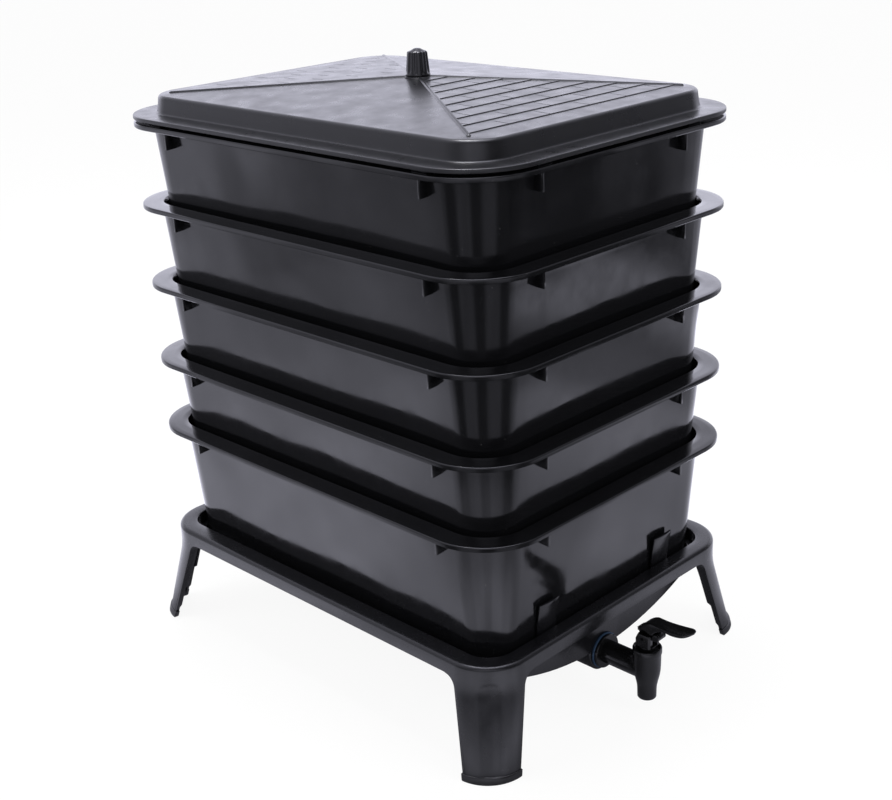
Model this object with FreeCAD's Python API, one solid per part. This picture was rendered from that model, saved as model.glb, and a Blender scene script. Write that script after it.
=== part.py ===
import FreeCAD, Part
import math
import os

# Worm composter: five nested trays under a hipped lid, on a four-legged stand with a sump dish and a tap.
# Sizes are in millimetres. X runs along the trays, Y across them and Z up from the floor.
# The tap is at the +X end. Each part is drawn round the middle of the stack, and the finished parts are
# moved along X so that the origin is on the floor under the middle of the whole, tap and all.

# Trays
tray_length = 580.0
tray_width = 428.0
tray_corner = 72.0
tray_depth = 150.0
tray_wall = 2.5
tray_floor = 2.5
wall_draft = 5.3
flange_reach = 21.5
flange_thickness = 2.5
lip_drop = 5.5
lip_wall = 3.0
lip_bevel = 1.2
foot_bevel = 3.0
tray_pitch = 94.0
lowest_pitch = 86.0
seat_gap = 0.3

# Webs under the flanges and seat ribs inside the trays, two of each on every side
web_thickness = 3.0
web_reach = 12.5
web_drop = 26.0
web_root_drop = 23.5
web_from_corner_x = 9.0
web_from_corner_y = 25.0
rib_thickness = 4.0
seat_bearing = 8.0

# Drain slots in the tray floors
slot_length = 44.0
slot_width = 7.0
slot_columns = 6
slot_rows = 4
slot_margin_x = 110.0
slot_margin_y = 106.0

# Lid
lid_gap = 4.3
lid_edge = 3.5
lid_skin = 3.0
lid_bevel = 1.2
panel_inset = 27.7
panel_draft = 8.0
panel_round = 4.5
roof_edge = 23.2
roof_peak = 39.0
roof_shoulder = 6.0
hip_width = 5.0
hip_crest = 2.4
hip_height = 1.5
hip_stop = 9.0
shingle_border = 62.0
shingle_first = 28.0
shingle_rows = 9
shingle_step = 1.0
skirt_drop = 10.0
skirt_wall = 3.0
skirt_gap = 2.5
pad_length = 20.0
pad_width = 8.0

# Knob and its screw
knob_base_radius = 13.5
knob_neck_radius = 10.4
knob_foot = 3.0
knob_side = 22.0
knob_height = 30.0
knob_crown_radius = 4.5
knob_flutes = 10
flute_radius = 2.0
flute_depth = 0.9
knob_seat_margin = 1.5
screw_radius = 2.0
screw_bite = 15.0
screw_head_radius = 4.5
screw_head = 2.6
screw_slot = 1.0
screw_clearance = 0.2

# Stand
stand_inset_x = 9.0
stand_inset_y = 3.0
stand_corner = 52.0
stand_top = 123.5
apron_height = 17.5
stand_skin = 3.0
stand_round = 3.0
stand_rim_x = 20.0
stand_rim_y = 22.5
opening_corner = 31.0
ledge_width = 4.5

# Legs
leg_splay_x = 20.0
leg_splay_y = 25.0
leg_foot_corner = 45.0
leg_skin = 3.0
return_depths = [12.0, 7.5, 5.0]
return_steps = [43.0, 15.0]
leg_fillet = 14.0
leg_flute_width = 24.0
leg_flute_depth = 1.0
leg_flute_top = 95.0

# Foot caps
cap_floor = 2.0
cap_height = 9.0
cap_reach = 2.0
cap_chamfer = 1.4

# Sump dish
dish_gap = 0.5
dish_wall = 3.0
dish_flange = 3.0
dish_low = 54.0
dish_radius = 390.0
dish_fall = 8.0
lug_width = 31.0
lug_from_corner = 43.0
lug_rise = 35.0
lug_gap = 1.0
lug_thickness = 3.0
lug_round = 6.0
sump_radius = 24.0
sump_length = 56.0

# Tap
tap_height = 51.0
tap_reach = 61.0
thread_radius = 8.0
thread_clearance = 0.2
thread_end = 20.0
washer_thickness = 2.5
outer_washer_radius = 21.0
inner_washer_radius = 16.0
nut_width = 26.0
nut_thickness = 7.0
tap_flange_radius = 19.0
tap_flange_thickness = 3.0
tap_flange_cone = 4.0
shank_width = 21.0
inlet_radius = 5.0
barrel_top = 79.0
barrel_rim_radius = 16.0
barrel_rim_height = 7.0
barrel_radius = 15.0
barrel_shoulder = 45.0
barrel_shoulder_radius = 14.2
spout_neck = 26.0
spout_neck_radius = 10.6
spout_radius = 10.2
spout_low = 11.5
spout_bevel = 1.2
outlet_radius = 7.0
valve_seat = 43.5
chamber_radius = 11.0
bonnet_plug_radius = 13.5
bonnet_plug_low = 64.0
bonnet_plug_top = 76.0
bonnet_neck_radius = 10.0
bonnet_low = 82.0
bonnet_high = 98.0
bonnet_width = 20.0
bonnet_chamfer = 2.0
fork_gap = 8.6
fork_floor = 0.5
fork_clearance = 0.3
nub_radius = 4.0
nub_reach = 9.5
nub_rise = 3.2
nub_width = 14.0
pivot_height = 92.0
pin_radius = 2.0
running_clearance = 0.05
stem_radius = 2.5
stem_lift = 4.0
lever_turn = 60.0
cam_radius = 9.0
cam_relief = 0.3
cup_radius = 9.0
cup_neck_radius = 4.8
cup_shoulder_radius = 7.4
cup_shoulder = 8.5
cup_height = 15.0
cup_wall = 1.8
lever_length = 61.0
lever_rise = 26.0
lever_tip_thickness = 2.4
lever_root_width = 18.0
lever_paddle_width = 20.0
lever_clear_radius = 12.6

# Values worked out from those above
tray_core_x = tray_length / 2 - tray_corner
tray_core_y = tray_width / 2 - tray_corner
web_along_x = tray_core_x - web_from_corner_x
web_along_y = tray_core_y - web_from_corner_y
lug_along_y = tray_core_y - lug_from_corner
slot_pitch_x = (tray_length - 2 * slot_margin_x) / (slot_columns - 1)
slot_pitch_y = (tray_width - 2 * slot_margin_y) / (slot_rows - 1)
shingle_pitch = (tray_length / 2 - shingle_first - shingle_border) / (shingle_rows - 1)
stand_length = tray_length - 2 * stand_inset_x
stand_width = tray_width - 2 * stand_inset_y
opening_length = stand_length - 2 * stand_rim_x
opening_width = stand_width - 2 * stand_rim_y
wall_slope = math.tan(math.radians(wall_draft))
wall_face = tray_corner - flange_reach
foot_face = wall_face - wall_slope * tray_depth
apron_low = stand_top - apron_height
dish_top = apron_low + dish_flange
rims = [dish_top + seat_gap + tray_depth]
rims.append(rims[-1] + lowest_pitch)
while len(rims) < 5:
    rims.append(rims[-1] + tray_pitch)
lid_base = rims[-1] + lid_gap
roof_seat = lid_base + roof_peak
stand_core_x = stand_length / 2 - stand_corner
stand_core_y = stand_width / 2 - stand_corner
dish_inset = dish_gap + ledge_width
dish_half_x = opening_length / 2 - dish_inset
dish_half_y = opening_width / 2 - dish_inset
dish_corner = opening_corner - dish_inset
tap_x = dish_half_x + tap_reach
flange_face = dish_half_x + washer_thickness

UP = FreeCAD.Vector(0, 0, 1)
ORIGIN = FreeCAD.Vector(0, 0, 0)


def vector(x, y, z):
    return FreeCAD.Vector(x, y, z)


def in_xz(x, z):
    return vector(x, 0, z)


def in_xy(x, y):
    return vector(x, y, 0)


def closed_wire(points, place=in_xz):
    """Joins plane points into a closed wire. A point of four values ends an arc through the last two."""
    edges = []
    for start, end in zip(points[-1:] + points[:-1], points):
        first = place(*start[:2])
        last = place(*end[:2])
        if len(end) == 4:
            edges.append(Part.Arc(first, place(*end[2:]), last).toShape())
        else:
            edges.append(Part.LineSegment(first, last).toShape())
    return Part.Wire(edges)


def polar(centre, radius, degrees):
    angle = math.radians(degrees)
    return (centre[0] + radius * math.cos(angle), centre[1] + radius * math.sin(angle))


def rounded(corner, radius, from_deg, to_deg):
    """The wire points that round a corner off, from the angle of one side's outward normal to the other's."""
    middle = (from_deg + to_deg) / 2
    reach = radius / math.cos(math.radians((to_deg - from_deg) / 2))
    centre = polar(corner, -reach, middle)
    return [polar(centre, radius, from_deg), polar(centre, radius, to_deg) + polar(centre, radius, middle)]


def bevelled(corner, size, from_deg, to_deg):
    """The wire points that cut a corner off flat, between sides with the same two normals as for rounded."""
    return [polar(corner, -size, from_deg + 90), polar(corner, size, to_deg + 90)]


def fused(pieces):
    return pieces[0].multiFuse(pieces[1:]).removeSplitter()


def in_four_corners(shape):
    """The shape in the +X +Y quarter and its mirror images in the other three."""
    pair = [shape, shape.mirror(ORIGIN, vector(1, 0, 0))]
    return pair + [piece.mirror(ORIGIN, vector(0, 1, 0)) for piece in pair]


def prism(points, travel, place=in_xz):
    return Part.Face(closed_wire(points, place)).extrude(travel)


def upright(radius, low, high, x=0.0, y=0.0):
    return Part.makeCylinder(radius, high - low, vector(x, y, low), UP)


def turned_upright(points, x=0.0):
    """Turns a section of (radius, height) points about the upright line through x."""
    face = Part.Face(closed_wire(points, lambda radius, z: vector(x + radius, 0, z)))
    return face.revolve(vector(x, 0, 0), UP, 360)


def turned_lengthwise(points):
    """Turns a section of (x, radius) points about the tap's level axis."""
    face = Part.Face(closed_wire(points, lambda x, radius: vector(x, 0, tap_height + radius)))
    return face.revolve(vector(0, 0, tap_height), vector(1, 0, 0), 360)


def lengthwise_hexagon(width, start, end):
    """A hexagonal bar on the tap's level axis, with flats above and below."""
    corners = [polar((0, tap_height), width / math.sqrt(3), 60 * step) for step in range(6)]
    return prism(corners, vector(end - start, 0, 0), lambda y, z: vector(start, y, z))


def rounded_slab(half_x, half_y, radius, low, high):
    """A flat slab with a rounded rectangle for its outline."""
    points = []
    for sign_x, sign_y, turn in ((1, 1, 0), (-1, 1, 90), (-1, -1, 180), (1, -1, 270)):
        points += rounded((sign_x * half_x, sign_y * half_y), radius, turn, turn + 90)
    return prism(points, vector(0, 0, high - low), lambda x, y: vector(x, y, low))


def ring(points, core_x, core_y):
    """Carries a section round a rounded rectangle. Its points are (distance out from the core, height)."""
    section = Part.Face(closed_wire(points))
    corners = [
        vector(core_x, core_y, 0),
        vector(-core_x, core_y, 0),
        vector(-core_x, -core_y, 0),
        vector(core_x, -core_y, 0),
    ]
    pieces = []
    for step, corner in enumerate(corners):
        here = section.copy()
        here.rotate(ORIGIN, UP, 90 * step)
        here.translate(corner)
        pieces.append(here.revolve(corner, UP, 90))
        pieces.append(here.extrude(corners[step - 1] - corner))
    return fused(pieces)


def fins(points, thickness, along_x, along_y, core_x, core_y):
    """Eight upright fins, two square to each side, with the same section points as a ring."""
    plate = prism(points, vector(0, thickness, 0))
    plate.translate(vector(0, -thickness / 2, 0))
    pieces = []
    for sign in (-1, 1):
        spots = [
            (0, core_x, sign * along_y),
            (90, sign * along_x, core_y),
            (180, -core_x, sign * along_y),
            (270, sign * along_x, -core_y),
        ]
        for turn, x, y in spots:
            fin = plate.copy()
            fin.rotate(ORIGIN, UP, turn)
            fin.translate(vector(x, y, 0))
            pieces.append(fin)
    return pieces


def wall_at(drop):
    """How far the tray wall's outer face stands out from the core, at a drop below the rim."""
    return wall_face - wall_slope * drop


seat_edge = foot_face - foot_bevel - seat_bearing


def tray(rim, nest_depth):
    """One tray: flange with a turned-down lip, drafted walls, slotted floor, webs and seat ribs."""
    floor_edge = seat_edge - tray_wall
    lip_inside = tray_corner - lip_wall
    section = [
        (tray_corner, -lip_drop),
        *bevelled((tray_corner, 0), lip_bevel, 0, 90),
        (wall_face - tray_wall, 0),
        (wall_at(tray_depth - tray_floor) - tray_wall, tray_floor - tray_depth),
        (floor_edge, tray_floor - tray_depth),
        (floor_edge, -tray_depth),
        *bevelled((foot_face, -tray_depth), foot_bevel, -90, -wall_draft),
        (wall_at(flange_thickness), -flange_thickness),
        (lip_inside, -flange_thickness),
        (lip_inside, -lip_drop),
    ]
    half_x = tray_core_x + floor_edge
    half_y = tray_core_y + floor_edge
    floor = rounded_slab(half_x, half_y, floor_edge, -tray_depth, tray_floor - tray_depth)
    bite = tray_wall / 2
    web = [
        (wall_at(flange_thickness) - bite, -flange_thickness),
        (wall_face + web_reach, -flange_thickness),
        (wall_face + web_reach, -web_drop),
        (wall_at(web_root_drop) - bite, -web_root_drop),
    ]
    rib_top = nest_depth + seat_gap
    rib = [
        (wall_at(rib_top) - bite, -rib_top),
        (seat_edge, -rib_top),
        (seat_edge - wall_slope * (tray_depth - rib_top), bite - tray_depth),
        (wall_at(tray_depth - bite) - bite, bite - tray_depth),
    ]
    webs = fins(web, web_thickness, web_along_x, web_along_y, tray_core_x, tray_core_y)
    ribs = fins(rib, rib_thickness, web_along_x, web_along_y, tray_core_x, tray_core_y)
    body = fused([ring(section, tray_core_x, tray_core_y), floor] + webs + ribs)
    slots = []
    for column in range(slot_columns):
        for row in range(slot_rows):
            slot = Part.makeBox(slot_length, slot_width, 3 * tray_floor)
            x = (column - (slot_columns - 1) / 2) * slot_pitch_x - slot_length / 2
            y = (row - (slot_rows - 1) / 2) * slot_pitch_y - slot_width / 2
            slot.translate(vector(x, y, -tray_depth - tray_floor))
            slots.append(slot)
    body = body.cut(slots)
    body.translate(vector(0, 0, rim))
    return body


def hipped(peak, edge_x, edge_y, edge):
    """The space under a four-sided roof that falls from its peak to the edge height at edge_x and edge_y."""
    low = edge - roof_edge - skirt_drop
    slopes = []
    for half, place, travel in (
        (edge_x, lambda a, z: vector(a, -tray_length, z), vector(0, 2 * tray_length, 0)),
        (edge_y, lambda a, z: vector(-tray_length, a, z), vector(2 * tray_length, 0, 0)),
    ):
        fall = (peak - edge) * tray_length / half
        gable = [(-tray_length, low - fall), (tray_length, low - fall), (tray_length, peak - fall), (0, peak)]
        slopes.append(prism(gable + [(-tray_length, peak - fall)], travel, place))
    return slopes[0].common(slopes[1])


def lid_panel(inset, lowered, rounding):
    """The raised panel as a solid, its sides moved in, its roof lowered and its shoulder rounded or sharp."""
    foot = tray_corner - panel_inset - inset
    lean = math.tan(math.radians(panel_draft))
    edge = roof_edge - lowered
    edge_out = foot - lean * (edge - lid_edge)
    shoulder = [(edge_out, edge)]
    if rounding:
        shoulder = rounded(shoulder[0], rounding, panel_draft, 90 - roof_shoulder)
    crown = edge + edge_out * math.tan(math.radians(roof_shoulder))
    section = [(0, 0), (foot + lean * lid_edge, 0), *shoulder, (0, crown)]
    core = Part.makeBox(2 * tray_core_x, 2 * tray_core_y, crown, vector(-tray_core_x, -tray_core_y, 0))
    body = fused([ring(section, tray_core_x, tray_core_y), core])
    return body.common(hipped(roof_peak - lowered, tray_core_x + edge_out, tray_core_y + edge_out, edge))


def roof_edges():
    """The half length and half width of the panel at the roof's edge."""
    edge_out = tray_corner - panel_inset - math.tan(math.radians(panel_draft)) * (roof_edge - lid_edge)
    return tray_core_x + edge_out, tray_core_y + edge_out


def hips():
    """Four raised bars down the hips, from the knob towards the corners."""
    edge_x, edge_y = roof_edges()
    run = math.hypot(edge_x, edge_y)
    fall = math.degrees(math.atan((roof_peak - roof_edge) / run))
    section = [
        (-hip_width / 2, -hip_height),
        (hip_width / 2, -hip_height),
        (hip_crest / 2, hip_height),
        (-hip_crest / 2, hip_height),
    ]
    bar = prism(section, vector(run - panel_round - hip_stop, 0, 0), lambda y, z: vector(0, y, z))
    bar.rotate(ORIGIN, vector(0, 1, 0), fall)
    bar.rotate(ORIGIN, UP, math.degrees(math.atan2(edge_y, edge_x)))
    bar.translate(vector(0, 0, roof_peak))
    return in_four_corners(bar)


def shingles():
    """Courses of shingles on the two end slopes, each standing proud at its lower edge."""
    edge_x, edge_y = roof_edges()
    slope = (roof_peak - roof_edge) / edge_x
    last = shingle_first + shingle_pitch * (shingle_rows - 1)
    points = [(last, roof_peak - slope * last - lid_skin / 2), (0, roof_peak - lid_skin / 2), (0, roof_peak)]
    for row in range(shingle_rows):
        x = shingle_first + shingle_pitch * row
        points.append((x, roof_peak - slope * x + shingle_step))
        points.append((x, roof_peak - slope * x))
    courses = prism(points, vector(0, tray_width, 0), lambda x, z: vector(x, -tray_width / 2, z))
    half = last * edge_y / edge_x
    facet = prism([(0, 0), (last, -half), (last, half)], vector(0, 0, 2 * roof_peak), in_xy)
    side = courses.common(facet)
    return [side, side.mirror(ORIGIN, vector(1, 0, 0))]


def lid():
    flange = [
        (tray_corner - panel_inset - lid_skin, 0),
        (tray_corner, 0),
        *bevelled((tray_corner, lid_edge), lid_bevel, 0, 90),
        (tray_corner - panel_inset - lid_skin, lid_edge),
    ]
    skirt_face = wall_face - tray_wall - skirt_gap
    skirt = [
        (skirt_face - skirt_wall, -skirt_drop),
        (skirt_face, -skirt_drop),
        (skirt_face, lid_edge),
        (skirt_face - skirt_wall, lid_edge),
    ]
    pad_middle = wall_face + flange_reach / 2
    pad = [
        (pad_middle - pad_width / 2, seat_gap - lid_gap),
        (pad_middle + pad_width / 2, seat_gap - lid_gap),
        (pad_middle + pad_width / 2, lid_edge / 2),
        (pad_middle - pad_width / 2, lid_edge / 2),
    ]
    shell = fused([ring(flange, tray_core_x, tray_core_y), lid_panel(0, 0, panel_round)])
    shell = shell.cut(lid_panel(lid_skin, lid_skin, 0))
    seat = upright(knob_base_radius + knob_seat_margin, roof_peak - lid_skin, roof_peak)
    extras = [ring(skirt, tray_core_x, tray_core_y), seat] + hips() + shingles()
    extras += fins(pad, pad_length, web_along_x, web_along_y, tray_core_x, tray_core_y)
    body = fused([shell] + extras)
    knob_seat = upright(knob_base_radius, roof_peak, roof_peak + knob_height)
    screw_hole = upright(screw_radius + screw_clearance, 0, roof_peak + knob_height)
    body = body.cut([knob_seat, screw_hole])
    body.translate(vector(0, 0, lid_base))
    return body


def lid_knob():
    """A fluted knob with a low crown, bored from below for its screw."""
    shoulder = knob_foot + knob_side
    body = turned_upright([
        (0, 0),
        (knob_base_radius, 0),
        (knob_base_radius, knob_foot),
        (knob_neck_radius, shoulder),
        (knob_crown_radius, knob_height),
        (0, knob_height),
    ])
    lean = math.degrees(math.atan((knob_base_radius - knob_neck_radius) / knob_side))
    cutters = [upright(screw_radius + screw_clearance / 2, 0, screw_bite + screw_clearance)]
    for step in range(knob_flutes):
        flute = upright(flute_radius, 0, knob_height)
        flute.rotate(ORIGIN, vector(0, 1, 0), -lean)
        flute.translate(vector(knob_base_radius + flute_radius - flute_depth, 0, knob_foot))
        flute.rotate(ORIGIN, UP, 360 / knob_flutes * step)
        cutters.append(flute)
    body = body.cut(cutters)
    body.translate(vector(0, 0, roof_seat))
    return body


def lid_knob_screw():
    """A pan-headed screw from inside the lid up into the knob."""
    under = roof_seat - lid_skin
    body = turned_upright([
        (0, under - screw_head),
        (screw_head_radius - 1, under - screw_head),
        (screw_head_radius, under - screw_head + 1),
        (screw_head_radius, under),
        (screw_radius, under),
        (screw_radius, roof_seat + screw_bite - screw_radius),
        (0, roof_seat + screw_bite),
    ])
    slot_low = under - 1.6 * screw_head
    slot = Part.makeBox(2 * screw_head_radius, screw_slot, screw_head)
    slot.translate(vector(-screw_head_radius, -screw_slot / 2, slot_low))
    return body.cut(slot)


def leg_place(height):
    """The middle of the leg's corner and its radius at a height."""
    share = 1 - min(height, apron_low) / apron_low
    radius = stand_corner + share * (leg_foot_corner - stand_corner)
    return stand_core_x + share * leg_splay_x, stand_core_y + share * leg_splay_y, radius


def stack_shift():
    """How far the stack's middle lies along X from the middle of the whole, feet and lever included."""
    x, y, radius = leg_place(cap_chamfer)
    return (x + radius + cap_reach - tap_x - lever_length) / 2


def leg_wire(height, returned, grown=0.0):
    """The leg's channel section: a quarter round skin with a return turned in along each edge."""
    x, y, radius = leg_place(height)
    outer = radius + grown
    inner = radius - leg_skin - grown
    skin = leg_skin + grown
    back = radius - returned - grown
    start = math.degrees(math.asin(skin / inner))
    points = [
        (outer, -grown),
        (-grown, outer) + polar((0, 0), outer, 45),
        (-grown, back),
        (skin, back),
        polar((0, 0), inner, 90 - start),
        polar((0, 0), inner, start) + polar((0, 0), inner, 45),
        (back, skin),
        (back, -grown),
    ]
    return closed_wire(points, lambda across, along: vector(x + across, y + along, height))


def leg_sector(height, depth):
    """A solid quarter disc that fills the leg's corner out to a depth below its skin."""
    x, y, radius = leg_place(height)
    points = [(0, 0), (radius - depth, 0), (0, radius - depth) + polar((0, 0), radius - depth, 45)]
    return closed_wire(points, lambda across, along: vector(x + across, y + along, height))


def leg():
    """One leg in the +X +Y corner: a splayed channel whose returns step back twice towards the foot."""
    levels = [stand_top - stand_skin, apron_low] + return_steps + [cap_floor]
    depths = return_depths[:1] + return_depths
    pieces = []
    for high, low, returned in zip(levels, levels[1:], depths):
        pieces.append(Part.makeLoft([leg_wire(high, returned), leg_wire(low, returned)], True, True))
    body = fused(pieces + leg_fillets())
    levels = (apron_low, cap_floor)
    skin = Part.makeLoft([leg_sector(level, 0) for level in levels], True, True)
    skin = skin.cut(Part.makeLoft([leg_sector(level, leg_flute_depth) for level in levels], True, True))
    half = leg_flute_width / 2
    spring = leg_flute_top - half
    arch = prism(
        [(-half, 0), (half, 0), (half, spring), (-half, spring, 0, leg_flute_top)],
        vector(0, 2 * stand_corner, 0),
    )
    arch.rotate(ORIGIN, UP, -45)
    x, y, radius = leg_place(leg_flute_top / 2)
    arch.translate(vector(x, y, 0))
    return body.cut(skin.common(arch))


def leg_fillets():
    """The skin's round run-out from each edge of the leg into the apron."""
    x, y, radius = leg_place(0)
    lean_x = (x + radius - stand_length / 2) / apron_low
    lean_y = (y + radius - stand_width / 2) / apron_low
    low = apron_low - leg_fillet
    middle = (1 - math.sqrt(0.5)) * leg_fillet
    pieces = []
    for core, shift, place, inwards in (
        (
            stand_core_y,
            leg_splay_y / apron_low,
            lambda a, z: vector(stand_length / 2 + lean_x * (apron_low - z), a, z),
            vector(-leg_skin, 0, 0),
        ),
        (
            stand_core_x,
            leg_splay_x / apron_low,
            lambda a, z: vector(a, stand_width / 2 + lean_y * (apron_low - z), z),
            vector(0, -leg_skin, 0),
        ),
    ):
        points = [
            (core + leg_skin, apron_low),
            (core - leg_fillet, apron_low),
            (core + shift * leg_fillet, low, core + shift * middle - middle, apron_low - middle),
            (core + shift * leg_fillet + leg_skin, low),
        ]
        pieces.append(prism(points, inwards, place))
    return pieces


def stand():
    """A channel-section plate round an opening with a ledge, and four legs moulded in one with it."""
    low = stand_top - stand_skin
    inside = stand_corner - stand_skin
    plate = ring(
        [
            (stand_corner, apron_low),
            *rounded((stand_corner, stand_top), stand_round, 0, 90),
            (0, stand_top),
            (0, low),
            (inside, low),
            (inside, apron_low),
        ],
        stand_core_x,
        stand_core_y,
    )
    opening = rounded_slab(opening_length / 2, opening_width / 2, opening_corner, 0, 2 * stand_top)
    ledge_low = apron_low - stand_skin
    collar = ring(
        [
            (opening_corner, low),
            (opening_corner, apron_low),
            (opening_corner - ledge_width, apron_low),
            (opening_corner - ledge_width, ledge_low),
            (opening_corner + stand_skin, ledge_low),
            (opening_corner + stand_skin, low),
        ],
        opening_length / 2 - opening_corner,
        opening_width / 2 - opening_corner,
    )
    return fused([plate.cut(opening), collar] + in_four_corners(leg()))


def foot_cap():
    """A push-on cap that wraps the foot of the leg in the +X +Y corner."""
    grown = [
        (0, cap_reach - cap_chamfer),
        (cap_chamfer, cap_reach),
        (cap_height, cap_reach),
    ]
    body = Part.makeLoft([leg_wire(z, return_depths[-1], reach) for z, reach in grown], True, True)
    return body.cut(leg())


def trough(radius):
    """The barrel-vault space that the dish's belly follows, falling towards the tap."""
    fall = vector(2 * dish_half_x, 0, -dish_fall)
    low_end = vector(dish_half_x, 0, dish_low + dish_radius)
    return Part.makeCylinder(radius, 1.4 * fall.Length, low_end - fall * 1.2, fall)


def sump(radius, start, end):
    return Part.makeCylinder(radius, end - start, vector(start, 0, tap_height), vector(1, 0, 0))


def sump_dish():
    """The dish hung in the stand: curved belly, flange, seat ribs, two lifting lugs and the tap's sump."""
    block = rounded_slab(dish_half_x, dish_half_y, dish_corner, 0, dish_top)
    belly = block.common(trough(dish_radius))
    sump_start = dish_half_x - sump_length
    outside = fused([belly, sump(sump_radius, sump_start, dish_half_x)])
    inner_corner = dish_corner - dish_wall
    inner_x = dish_half_x - dish_wall
    inner_y = dish_half_y - dish_wall
    inner_block = rounded_slab(inner_x, inner_y, inner_corner, 0, 2 * dish_top)
    inside = inner_block.common(trough(dish_radius - dish_wall))
    pocket = sump(sump_radius - dish_wall, sump_start + dish_wall, inner_x)
    flange = rounded_slab(
        dish_half_x + ledge_width,
        dish_half_y + ledge_width,
        dish_corner + ledge_width,
        dish_top - dish_flange,
        dish_top,
    )
    shell = fused([outside, flange]).cut([inside, pocket])
    core_x = dish_half_x - dish_corner
    core_y = dish_half_y - dish_corner
    rib_edge = min(tray_core_x - core_x, tray_core_y - core_y) + seat_edge
    rib_root = inner_corner + dish_wall / 2
    rib = [(rib_root, 0), (rib_root, dish_top), (rib_edge, dish_top), (rib_edge, 0)]
    ribs = fins(rib, rib_thickness, web_along_x, web_along_y, core_x, core_y)
    ribs = [piece.common(belly) for piece in ribs]
    body = fused([shell] + ribs + lugs())
    hole = sump(thread_radius + thread_clearance, sump_start, dish_half_x + dish_wall)
    return body.cut(hole)


def lugs():
    """Two upright lifting lugs beside the lowest tray's end wall, parallel to it."""
    high = stand_top + lug_rise
    low = dish_top - dish_flange / 2
    foot = tray_core_x + wall_at(rims[0] - low) + lug_gap
    head = tray_core_x + wall_at(rims[0] - high) + lug_gap
    plate = prism(
        [(foot, low), (head, high), (head + lug_thickness, high), (foot + lug_thickness, low)],
        vector(0, tray_width, 0),
        lambda x, z: vector(x, -tray_width / 2, z),
    )
    pieces = []
    for middle in (-lug_along_y, lug_along_y):
        outline = prism(
            [
                (middle - lug_width / 2, low),
                (middle + lug_width / 2, low),
                *rounded((middle + lug_width / 2, high), lug_round, 0, 90),
                *rounded((middle - lug_width / 2, high), lug_round, 90, 180),
            ],
            vector(tray_length, 0, 0),
            lambda y, z: vector(0, y, z),
        )
        pieces.append(plate.common(outline))
    return pieces


def tap_body():
    """The tap's body: threaded tail, flange, hexagonal shank, and a barrel that narrows to the spout."""
    tail_start = dish_half_x - thread_end
    cone_start = flange_face + tap_flange_thickness
    flange = turned_lengthwise([
        (tail_start, 0),
        (tail_start, thread_radius),
        (flange_face, thread_radius),
        (flange_face, tap_flange_radius),
        (cone_start, tap_flange_radius),
        (cone_start + tap_flange_cone, shank_width / 2),
        (cone_start + tap_flange_cone, 0),
    ])
    shank = lengthwise_hexagon(shank_width, cone_start, tap_x)
    barrel = turned_upright([
        (0, spout_low),
        *bevelled((spout_radius, spout_low), spout_bevel, -90, 0),
        (spout_neck_radius, spout_neck),
        (barrel_shoulder_radius, barrel_shoulder),
        (barrel_radius, barrel_top - barrel_rim_height),
        (barrel_rim_radius, barrel_top - barrel_rim_height),
        (barrel_rim_radius, barrel_top),
        (0, barrel_top),
    ], tap_x)
    cavity = turned_upright([
        (0, 0),
        (outlet_radius, 0),
        (outlet_radius, valve_seat),
        (chamber_radius, valve_seat),
        (chamber_radius, bonnet_plug_low),
        (bonnet_plug_radius, bonnet_plug_low),
        (bonnet_plug_radius, barrel_top + 1),
        (0, barrel_top + 1),
    ], tap_x)
    inlet = sump(inlet_radius, tail_start, tap_x)
    return fused([flange, shank, barrel]).cut([cavity, inlet])


def tap_bonnet():
    """The bonnet: a plug in the barrel, a neck, and a block forked for the lever, with a stop nub."""
    plug = turned_upright([
        (0, bonnet_plug_low),
        (bonnet_plug_radius, bonnet_plug_low),
        (bonnet_plug_radius, bonnet_plug_top),
        (bonnet_neck_radius, bonnet_plug_top),
        (bonnet_neck_radius, bonnet_low + fork_floor),
        (0, bonnet_low + fork_floor),
    ], tap_x)
    half = bonnet_width / 2
    cut = half - bonnet_chamfer
    corners = []
    for sign_x, sign_y in ((1, 1), (-1, 1), (-1, -1), (1, -1)):
        pair = [(tap_x + sign_x * half, sign_y * cut), (tap_x + sign_x * cut, sign_y * half)]
        corners += pair if sign_x == sign_y else pair[::-1]
    block = prism(corners, vector(0, 0, bonnet_high - bonnet_low), lambda x, y: vector(x, y, bonnet_low))
    nub_x = tap_x + half + nub_reach - nub_radius
    nub_z = bonnet_high + nub_rise - nub_radius
    nub_back = polar((nub_x, nub_z), nub_radius, 150)
    nub = prism(
        [
            (tap_x + half, nub_z - nub_radius),
            (nub_x, nub_z - nub_radius),
            nub_back + polar((nub_x, nub_z), nub_radius, 30),
            (tap_x + half, nub_back[1] - (nub_back[0] - tap_x - half) * math.tan(math.radians(60))),
        ],
        vector(0, nub_width, 0),
        lambda x, z: vector(x, -nub_width / 2, z),
    )
    fork_low = vector(tap_x - bonnet_width, -fork_gap / 2, bonnet_low + fork_floor)
    fork = Part.makeBox(2 * bonnet_width, fork_gap, bonnet_width, fork_low)
    stem_hole = upright(stem_radius + running_clearance, 0, 2 * bonnet_high, tap_x)
    return fused([plug, block.cut(fork), nub]).cut([stem_hole, pivot_bore(pin_radius)])


def pivot_bore(radius, half=bonnet_width):
    return Part.makeCylinder(radius, 2 * half, vector(tap_x, -half, pivot_height), vector(0, 1, 0))


def tap_lever_pin():
    return pivot_bore(pin_radius, bonnet_width / 2)


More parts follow.
